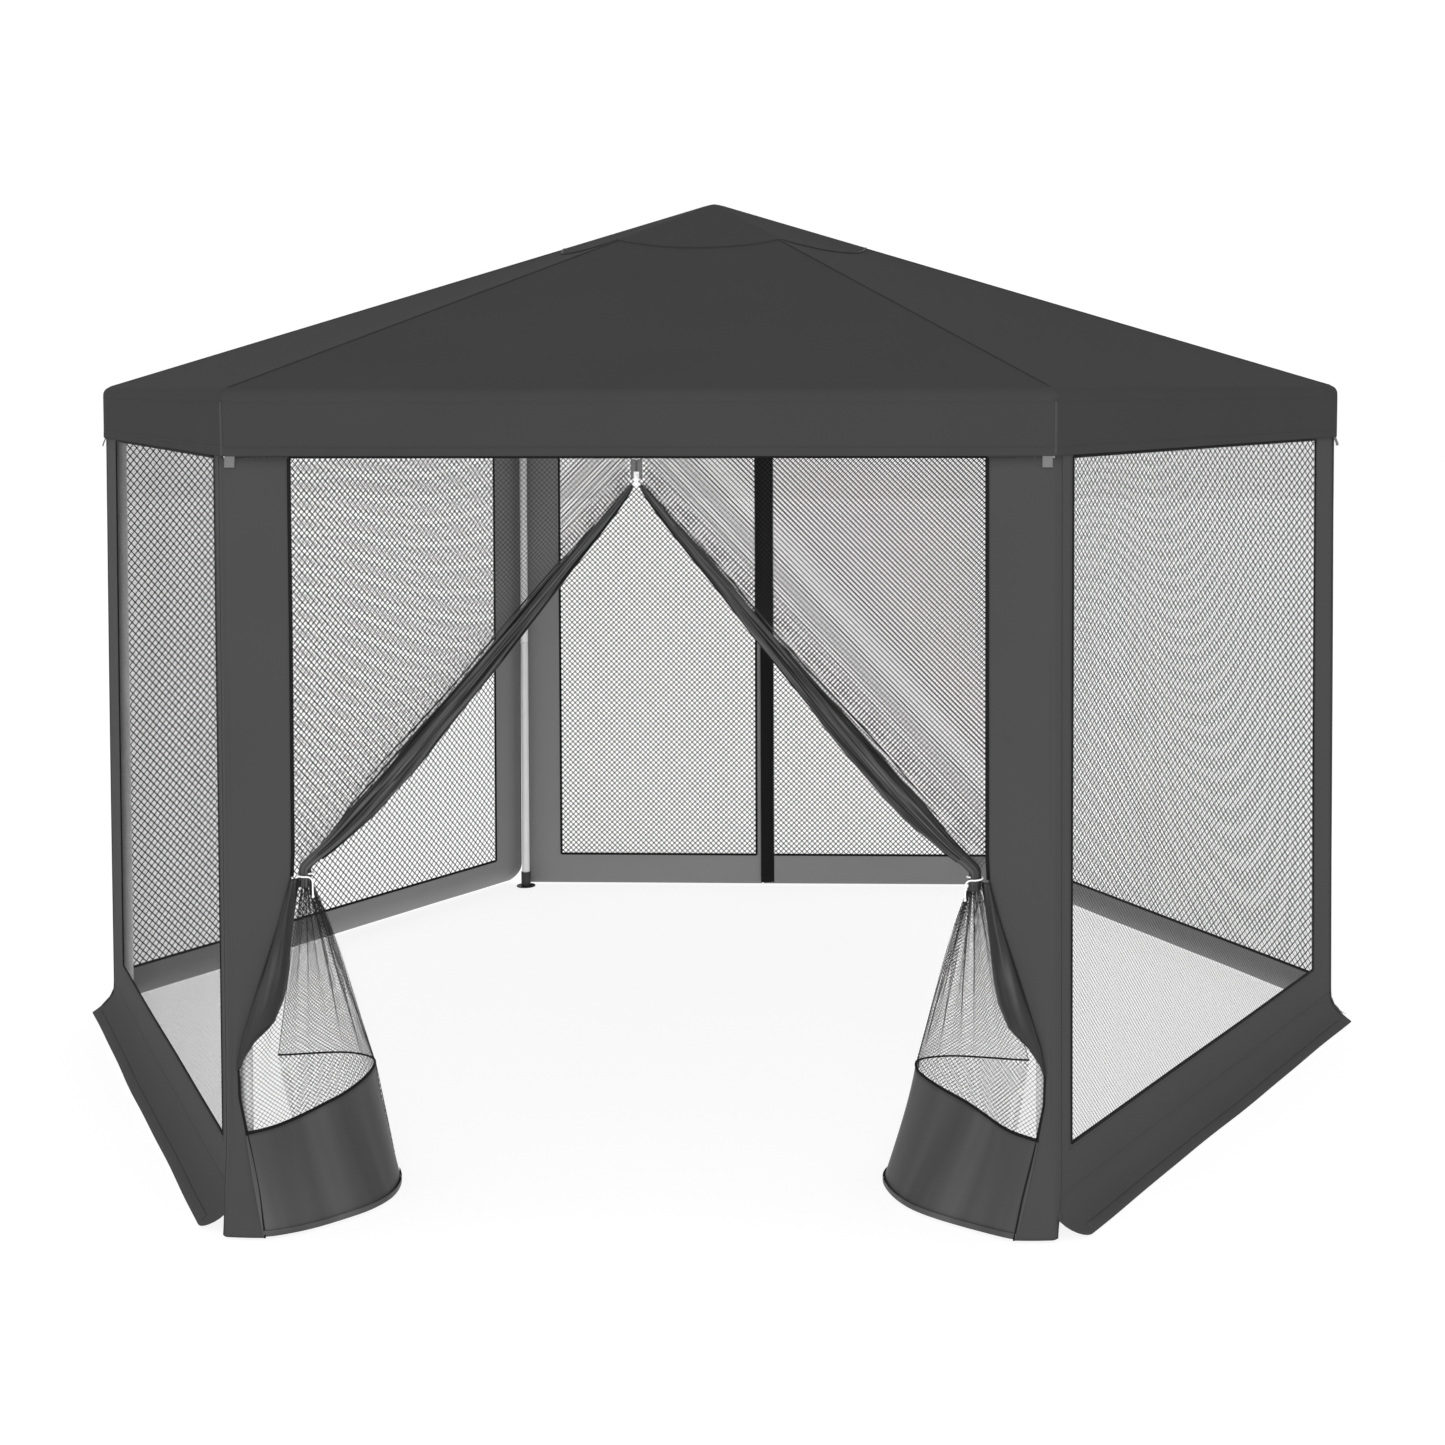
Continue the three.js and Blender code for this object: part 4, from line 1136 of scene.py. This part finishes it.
def curtain(side):
    name = "left" if side < 0 else "right"
    seed = 0.7 if side < 0 else 2.3
    sx = side
    # roll of gathered netting
    n = 150
    path = spline(np.c_[ROLL[:, 0], np.full(len(ROLL), YM), ROLL[:, 1]], n)
    rad = np.interp(np.linspace(0, 1, n), *ROLL_R)
    path3 = path * np.array([sx, 1, 1])

    def lumpy(phi, t):
        return (1 + 0.13 * np.sin(4 * phi + 5 * t + seed) + 0.10 * np.sin(7 * phi - 9 * t + 2 * seed) * (0.4 + t)
                + 0.06 * np.sin(11 * phi + 16 * t) + 0.05 * np.sin(2 * phi + 30 * t + seed)) * 0.93
    roll_o = sweep(f"curtain_roll_{name}", path3, rad, M_GATHER, sides=44, shape=lumpy, up_hint=(0, -1, 0), slot="mesh_wall")
    fix_normals(roll_o)
    # the zip edge lies along the lower side of the roll
    T = np.gradient(path, axis=0)
    T /= np.linalg.norm(T, axis=1)[:, None]
    nrm = np.stack([T[:, 2], np.zeros(n), -T[:, 0]], 1)      # to the lower side
    nrm *= np.sign(-nrm[:, 2] + 1e-9)[:, None]
    last = int(n * 0.93)
    lo = (path + nrm * (rad * 0.80)[:, None] + np.array([0, -0.004, 0]))[1:last] * np.array([sx, 1, 1])
    er = np.interp(np.linspace(0, 1, len(lo)), [0, 0.06, 1], [0.0011, 0.0042, 0.0042])
    edge = sweep(f"curtain_zip_edge_{name}", lo, er, M_TAPE, sides=12, flat=(1.0, 0.8), up_hint=(0, -1, 0), slot="mesh_wall")
    fix_normals(edge)
    folds = []
    for k, (h, dy, rr, t0, t1) in enumerate([(-1.05, -0.006, 0.0030, 0.06, 0.90), (-0.35, -0.80, 0.0038, 0.10, 0.93), (0.25, -0.86, 0.0034, 0.16, 0.93), (-1.5, 0.0, 0.0022, 0.1, 0.80)]):
        a, b = int(n * t0), int(n * t1)
        tt = np.linspace(0, 1, n)
        wob = 0.0022 * np.sin(14 * tt + k * 2 + seed)
        off = nrm * (rad * h + wob)[:, None]
        yy = (rad * dy if abs(dy) > 0.1 else np.full(n, dy))
        f = (path + off + np.c_[np.zeros(n), yy, np.zeros(n)])[a:b] * np.array([sx, 1, 1])
        taper = np.sin(np.linspace(0.12, math.pi - 0.12, b - a)) ** 0.4
        folds.append(fix_normals(sweep("fold", f, rr * taper, M_GATHER, sides=8, up_hint=(0, -1, 0), slot="mesh_wall")))
    fo = join(f"curtain_folds_{name}", folds)
    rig.ride(fo, "root")
    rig.slot(fo, "mesh_wall")

    # netting above the roll: flat by the strip, drawn together towards the roll
    P0, P1 = np.array([0.008, 1.812]), np.array([0.806, 0.876])
    dvec = (P1 - P0) / np.linalg.norm(P1 - P0)
    nvec = np.array([-dvec[1], dvec[0]])
    nvec = nvec if nvec[1] > 0 else -nvec
    sag_line = lambda l: np.interp(l, np.linspace(0, np.linalg.norm(P1 - P0), 9), [0, .004, .006, .007, .006, .003, 0, 0, 0])
    c = 0.055

    def upper(a, b):
        X = np.stack([a, b], -1) - P0
        m = X @ nvec
        l = X @ dvec
        s = c * np.log1p(np.exp(np.clip(m / c, -30, 30)))
        x = P0[0] + dvec[0] * l + nvec[0] * s
        z = P0[1] + dvec[1] * l + nvec[1] * s
        near = np.exp(-np.maximum(s, 0) / 0.07)
        fan = np.sin(2 * math.pi * m / 0.030 + 4 * l + seed) * 0.0050 * near + 0.0006 * np.sin(9 * x + 5 * z + seed)
        fan = fan * smoothstep((x - 0.014) / 0.045)
        x = np.minimum(np.maximum(x, 0.0035), XIN + 0.003)
        z = np.minimum(z, DOOR_TOP + 0.001)
        P = np.stack([sx * x, YM + fan, z], -1)
        return P, np.broadcast_to(np.array([0, -1.0, 0]), P.shape)

    def keep(a, b):
        X = np.stack([a, b], -1) - P0
        m = X @ nvec
        l = X @ dvec
        s = c * np.log1p(np.exp(np.clip(m / c, -30, 30)))
        x = P0[0] + dvec[0] * l + nvec[0] * s
        z = P0[1] + dvec[1] * l + nvec[1] * s
        tape = (x < 0.0150) & (z > DOOR_TOP - 0.054)           # the zip tapes take this corner
        return (m > -0.13) & (x > 0.0) & (x < XIN + 0.006) & (z < DOOR_TOP + 0.004) & (l > -0.05) & (l < 1.225) & ~tape
    un, area_u = net(f"curtain_upper_net_{name}", upper, keep, (-0.08, XIN + 0.05, 0.72, DOOR_TOP + 0.02), PITCH_F, 0.00104, 0.012, thick=0.0009)

    # netting below the tie, opening into the apron
    if side < 0:
        mid_pts = [[0.957, -1.7290], [0.910, -1.682], [0.868, -1.612], [0.826, -1.555], [0.786, -1.502], [0.760, -1.430], [0.756, -1.340],
                   [0.776, -1.262], [0.850, -1.214], [0.950, -1.200], [1.050, -1.205]]
        low_pts = [[0.905, -1.7700], [0.870, -1.760], [0.800, -1.722], [0.735, -1.660], [0.682, -1.592], [0.656, -1.520], [0.662, -1.425],
                   [0.700, -1.335], [0.770, -1.275], [0.880, -1.240], [0.985, -1.230]]
    else:
        mid_pts = [[0.957, -1.7290], [0.898, -1.672], [0.840, -1.585], [0.781, -1.507], [0.731, -1.447], [0.690, -1.380], [0.662, -1.300],
                   [0.668, -1.240], [0.740, -1.205], [0.850, -1.195], [0.960, -1.200]]
        low_pts = [[0.905, -1.7420], [0.872, -1.728], [0.790, -1.680], [0.705, -1.612], [0.640, -1.545], [0.594, -1.463], [0.577, -1.376],
                   [0.605, -1.300], [0.690, -1.250], [0.800, -1.225], [0.915, -1.220]]
    mid, low = spline(mid_pts, 240), spline(low_pts, 240)
    s_end = 0.60 if side < 0 else 0.66          # the solid part stops where the hem turns back
    ang = np.radians(np.linspace(-128, 118, 240))
    tie = np.c_[TIE_X - 0.0105 * np.cos(ang), YM + 0.0105 * np.sin(ang)]
    zm = 0.243 + 0.030 * smoothstep((np.linspace(0, 1, 240) - 0.15) / 0.35) - 0.012 * smoothstep((np.linspace(0, 1, 240) - 0.7) / 0.3)
    zt = TIE_Z - 0.018
    su = np.linspace(0, 1, 240)
    I = lambda arr, s: np.interp(s, su, arr)
    e_t = np.array([0, 0.08, 0.30, 0.52, 0.66, 0.76, 0.88, 1.0])
    e_x = np.array([0.822, 0.846, 0.892, 0.940, 0.972, 0.984, 0.978, 0.962])
    e_z = np.array([0.862, 0.830, 0.700, 0.560, 0.465, 0.400, 0.320, 0.243])

    def cone(s, t):
        s, t = np.clip(s, 0, 1), np.clip(t, 0, 1)
        q = t ** 0.92
        bow = np.sin(math.pi * t)
        x = I(tie[:, 0], s) * (1 - q) + I(mid[:, 0], s) * q
        y = I(tie[:, 1], s) * (1 - q) + I(mid[:, 1], s) * q
        z = zt * (1 - t) + I(zm, s) * t
        w = (1 - s) ** 5
        q0 = t ** 0.92
        x0 = tie[0, 0] * (1 - q0) + mid[0, 0] * q0
        z0 = zt * (1 - t) + zm[0] * t
        x = x + (np.interp(t, e_t, e_x) - x0) * w
        z = z + (np.interp(t, e_t, e_z) - z0) * w
        y = y + 0.006 * w * smoothstep(t / 0.1)
        # pleats run down from the tie and die out at the band
        pl = (np.sin(2 * math.pi * 11 * s + seed) + 0.6 * np.sin(2 * math.pi * 19 * s + 2 * seed)) * (0.0035 + 0.011 * bow * (1 - t) ** 0.4) * (1 - t) ** 0.8 * (1 - 0.8 * w)
        cx, cy = 0.845, -1.47
        dx, dy = x - (TIE_X * (1 - q) + cx * q), y - (YM * (1 - q) + cy * q)
        dn = np.hypot(dx, dy) + 1e-6
        return x + dx / dn * pl, y + dy / dn * pl, z

    Wn, Hn = 0.80, 0.66

    def lower(a, b):
        s, t = a / Wn, 1 - b / Hn
        x, y, z = cone(s, t)
        h = 0.004
        x1, y1, z1 = cone(s + h, t)
        x2, y2, z2 = cone(s - h, t)
        A = np.stack([sx * (x1 - x2), y1 - y2, z1 - z2], -1)
        x3, y3, z3 = cone(s, t + h)
        x4, y4, z4 = cone(s, t - h)
        B = np.stack([sx * (x3 - x4), y3 - y4, z3 - z4], -1)
        Nn = np.cross(A, B)
        Nn /= np.linalg.norm(Nn, axis=-1)[..., None] + 1e-12
        return np.stack([sx * x, y, z], -1), Nn
    ln, area_l = net(f"curtain_lower_net_{name}", lower, None, (0, Wn, 0, Hn), PITCH_F, WIDTH_F * 0.85, 0.014, thick=0.0010)

    # behind the solid band the netting goes on down to the floor
    def rear(a, b):
        s, t = np.clip(a, 0, 1), np.clip(b, 0, 1)
        x = I(mid[:, 0], s) * (1 - t) + I(low[:, 0], s) * t
        y = I(mid[:, 1], s) * (1 - t) + I(low[:, 1], s) * t
        z = I(zm, s) * (1 - t) + 0.010 * t
        P = np.stack([sx * x, y + 0.004 * np.sin(22 * s + 3 * t), z], -1)
        return P, np.broadcast_to(np.array([0, 1.0, 0]), P.shape)
    Lr = float(np.linalg.norm(np.diff(mid, axis=0), axis=1).sum())
    rn, area_r = net(f"curtain_rear_net_{name}", lambda a, b: rear(a / Lr, b / 0.25), None, (s_end * Lr, Lr, 0, 0.25), PITCH_F, WIDTH_F * 0.85, 0.014)
    wr = Lr * (1 - s_end)
    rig.sheet(rn, flat=(wr, 0.25), held="hung", rests_on=[ln], area=min(wr * 0.25, max(0.3 * wr * 0.25, area_r)))

    # solid apron band: from the binding down to the floor, curling back inward
    ns, nt = 130, 18
    s = np.linspace(0, s_end, ns)
    rows, uvs = [], []
    dist = np.r_[0, np.cumsum(np.linalg.norm(np.diff(low, axis=0), axis=1))]
    for t in np.linspace(0, 1, nt):
        q = t ** 1.15
        x = I(mid[:, 0], s) * (1 - q) + I(low[:, 0], s) * q
        y = I(mid[:, 1], s) * (1 - q) + I(low[:, 1], s) * q
        foot = 0.008 + 0.000 * s
        z = I(zm, s) * (1 - t) + foot * t
        wv = 0.0045 * np.sin(math.pi * s / s_end) * (np.sin(9 * s + 2.2 * t + seed) + 0.5 * np.sin(17 * s - 3 * t))
        gx, gy = np.gradient(x), np.gradient(y)
        gl = np.hypot(gx, gy)
        rows.append(np.c_[sx * (x - gy / gl * wv), y + gx / gl * wv, z])
        uvs.append(np.c_[I(dist, s), z])
    F = grid_faces(ns, nt)
    if side < 0:
        F = F[:, ::-1]
    band = mesh_obj(f"apron_band_{name}", np.vstack(rows), F, M_BAND, np.vstack(uvs), slot="mesh_wall")
    A_band = float(sum(p.area for p in band.data.polygons))
    solidify(band, 0.0009, 0, M_INNER_GLOW)
    rows = np.array(rows)
    top, bot = rows[0], rows[-1]
    g = np.gradient(top, axis=0)
    nn = np.c_[g[:, 1], -g[:, 0], np.zeros(ns)] * (1 if side < 0 else -1)
    nn /= np.linalg.norm(nn, axis=1)[:, None]
    nn = nn * -1 if (nn[0] @ np.array([0, -1, 0])) < 0 else nn
    arc = np.stack([sx * mid[:, 0], mid[:, 1], zm], 1)
    b1 = sweep("apron_bind", top, 0.0042, M_TAPE, sides=10, flat=(0.7, 1.0), slot="mesh_wall")
    tt = np.linspace(0.03, 1.0, 60)
    ex, ey, ez = cone(np.full(60, 0.998), tt)
    b5 = sweep("apron_rear_edge", np.stack([sx * ex, ey, ez], 1), 0.0008, M_NET, sides=8, slot="mesh_wall")
    b4 = sweep("apron_rear_bind", arc[int(240 * s_end) + 1::2], 0.0026, M_TAPE, sides=8, slot="mesh_wall")
    b2 = ribbon("apron_hem", bot + np.array([0, 0, 0.008]) + nn * 0.0006, nn, 0.014, 0.0009, M_BAND, slot="mesh_wall")
    side_edge = rows[:, -1]
    b3 = ribbon("apron_end", side_edge, nn[-1], 0.008, 0.0012, M_BAND, slot="mesh_wall")
    trim = join(f"apron_trim_{name}", [b1, b2, b3, b4, b5])
    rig.ride(trim, "root")
    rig.slot(trim, "mesh_wall")

    # the strip's edge folds over into a lip beside the apron netting, coloured near black as painted shade, with
    # painted highlight streaks
    z = np.linspace(0.402, 0.868, 46)
    A = strip_edge(z) + 0.001
    B = np.interp(z, [0.396, 0.423, 0.465, 0.515, 0.572, 0.622, 0.716, 0.80, 0.852, 0.87], [0.971, 0.962, 0.935, 0.886, 0.862, 0.852, 0.842, 0.832, 0.824, 0.822])
    B = np.minimum(B, A - 0.004)
    k = 17
    a = np.linspace(0, math.pi, k)
    rows = []
    for j in range(len(z)):
        w = A[j] - B[j]
        depth = 0.006 + 0.30 * w
        cxx = (A[j] + B[j]) / 2
        x = cxx + w / 2 * np.cos(a)
        y = FY - 0.004 - depth * np.sin(a) + 0.006 * (1 - np.cos(a)) / 2
        ripple = 0.0015 * np.sin(5 * a + 9 * z[j] * 3 + seed)
        rows.append(np.c_[sx * x, y + ripple, np.full(k, z[j])])
    F = grid_faces(k, len(z))
    if side > 0:
        F = F[:, ::-1]
    lip = mesh_obj(f"strip_lip_{name}", np.vstack(rows), F, M_LIP_SHADE, np.tile(np.c_[a * 0.05, a * 0], (len(z), 1)) + np.repeat(np.c_[z * 0, z], k, 0), slot="grey_cloth")
    A_lip = float(sum(p.area for p in lip.data.polygons))
    solidify(lip, 0.0009, 1)
    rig.sheet(lip, flat=(round(A_lip / 0.47, 4), 0.47), held="folded", rests_on=[f"front_strip_{name}"])
    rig.sheet(un, flat=(0.83, 0.88), held="gathered", rests_on=["front_header"], area=max(0.3 * 0.83 * 0.88, area_u), with_pieces=[roll_o, edge, fo])
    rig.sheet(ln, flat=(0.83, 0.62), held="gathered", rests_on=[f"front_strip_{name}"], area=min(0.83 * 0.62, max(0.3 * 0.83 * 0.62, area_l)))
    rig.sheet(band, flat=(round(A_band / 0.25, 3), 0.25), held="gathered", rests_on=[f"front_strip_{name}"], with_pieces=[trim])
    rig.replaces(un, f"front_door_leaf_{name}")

    # tie cord round the bundle, with a short tail and a knot
    Rr, pts = 0.0188, []
    for i in range(15):
        q = math.radians(-52 + 350 * i / 14)
        pts.append([-TIE_X + Rr * math.cos(q), YM + Rr * math.sin(q), TIE_Z + 0.004 - 0.007 * i / 14])
    x, y, zz = pts[14]
    pts += [[x + .007, y + .001, zz - .002], [x + .0125, y + .0005, zz - .008], [x + .014, y - .001, zz - .018], [x + .0145, y - .002, zz - .032], [x + .015, y - .002, zz - .048]]
    cp = spline(pts, 140) * np.array([-sx, 1, 1])
    cord = sweep(f"tie_{name}", cp, 0.0020, M_CORD, sides=16, shape=lambda p, t: 1 + 0.05 * np.sin(3 * p + 420 * t), slot="white_cord")
    fix_normals(cord)
    clen = float(np.linalg.norm(np.diff(cp, axis=0), axis=1).sum())
    kn = cp[-1] + np.array([0, 0, 0.0015])
    ph, la = np.meshgrid(np.arange(20) * 2 * math.pi / 20, np.linspace(-1.45, 1.45, 11))
    rr = 0.0034 * (1 + 0.10 * np.sin(3 * ph + 4 * la))
    Vk = np.stack([kn[0] + rr * np.cos(la) * np.cos(ph), kn[1] + rr * np.cos(la) * np.sin(ph), kn[2] + 1.05 * rr * np.sin(la)], -1).reshape(-1, 3)
    Fk = [list(map(int, f)) for f in grid_faces(20, 11, wrap=True)] + [list(range(20))[::-1], list(range(200, 220))]
    knot = fix_normals(mesh_obj(f"tie_knot_{name}", Vk, Fk, M_CORD, slot="white_cord"))
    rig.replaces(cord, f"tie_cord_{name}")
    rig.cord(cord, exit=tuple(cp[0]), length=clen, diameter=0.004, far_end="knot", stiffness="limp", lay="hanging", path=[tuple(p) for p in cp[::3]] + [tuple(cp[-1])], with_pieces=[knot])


curtain(-1)
curtain(1)

# ------------------------------------------------------------------ webbing tabs under the valance corners
for corner, deg, sd in [("left", 210, -1), ("front_left", 270, -1), ("front_right", 270, 1), ("right", 330, 1), ("back_right", 90, -1), ("back_left", 90, 1)]:
    n, t = frame_of(deg)
    outer = corner in ("left", "right")
    u = sd * (HALF - (0.010 if outer else 0.018))
    z = np.linspace(VAL + 0.044, VAL - 0.027, 26)
    # the free end lifts a little off the wall
    hang = WY + 0.0017 + (0.0075 if outer else 0.0026) * smoothstep((VAL - z) / 0.024)
    P = n * hang[:, None] + t * u + np.c_[z * 0, z * 0, z]
    o = ribbon(f"corner_tab_{corner}", P, n, 0.025, 0.0015, M_WEB, slot="grey_webbing")
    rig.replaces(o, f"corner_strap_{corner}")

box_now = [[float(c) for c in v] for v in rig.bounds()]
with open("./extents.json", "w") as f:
    json.dump({"cad": CAD_BOX, "visual": box_now}, f)
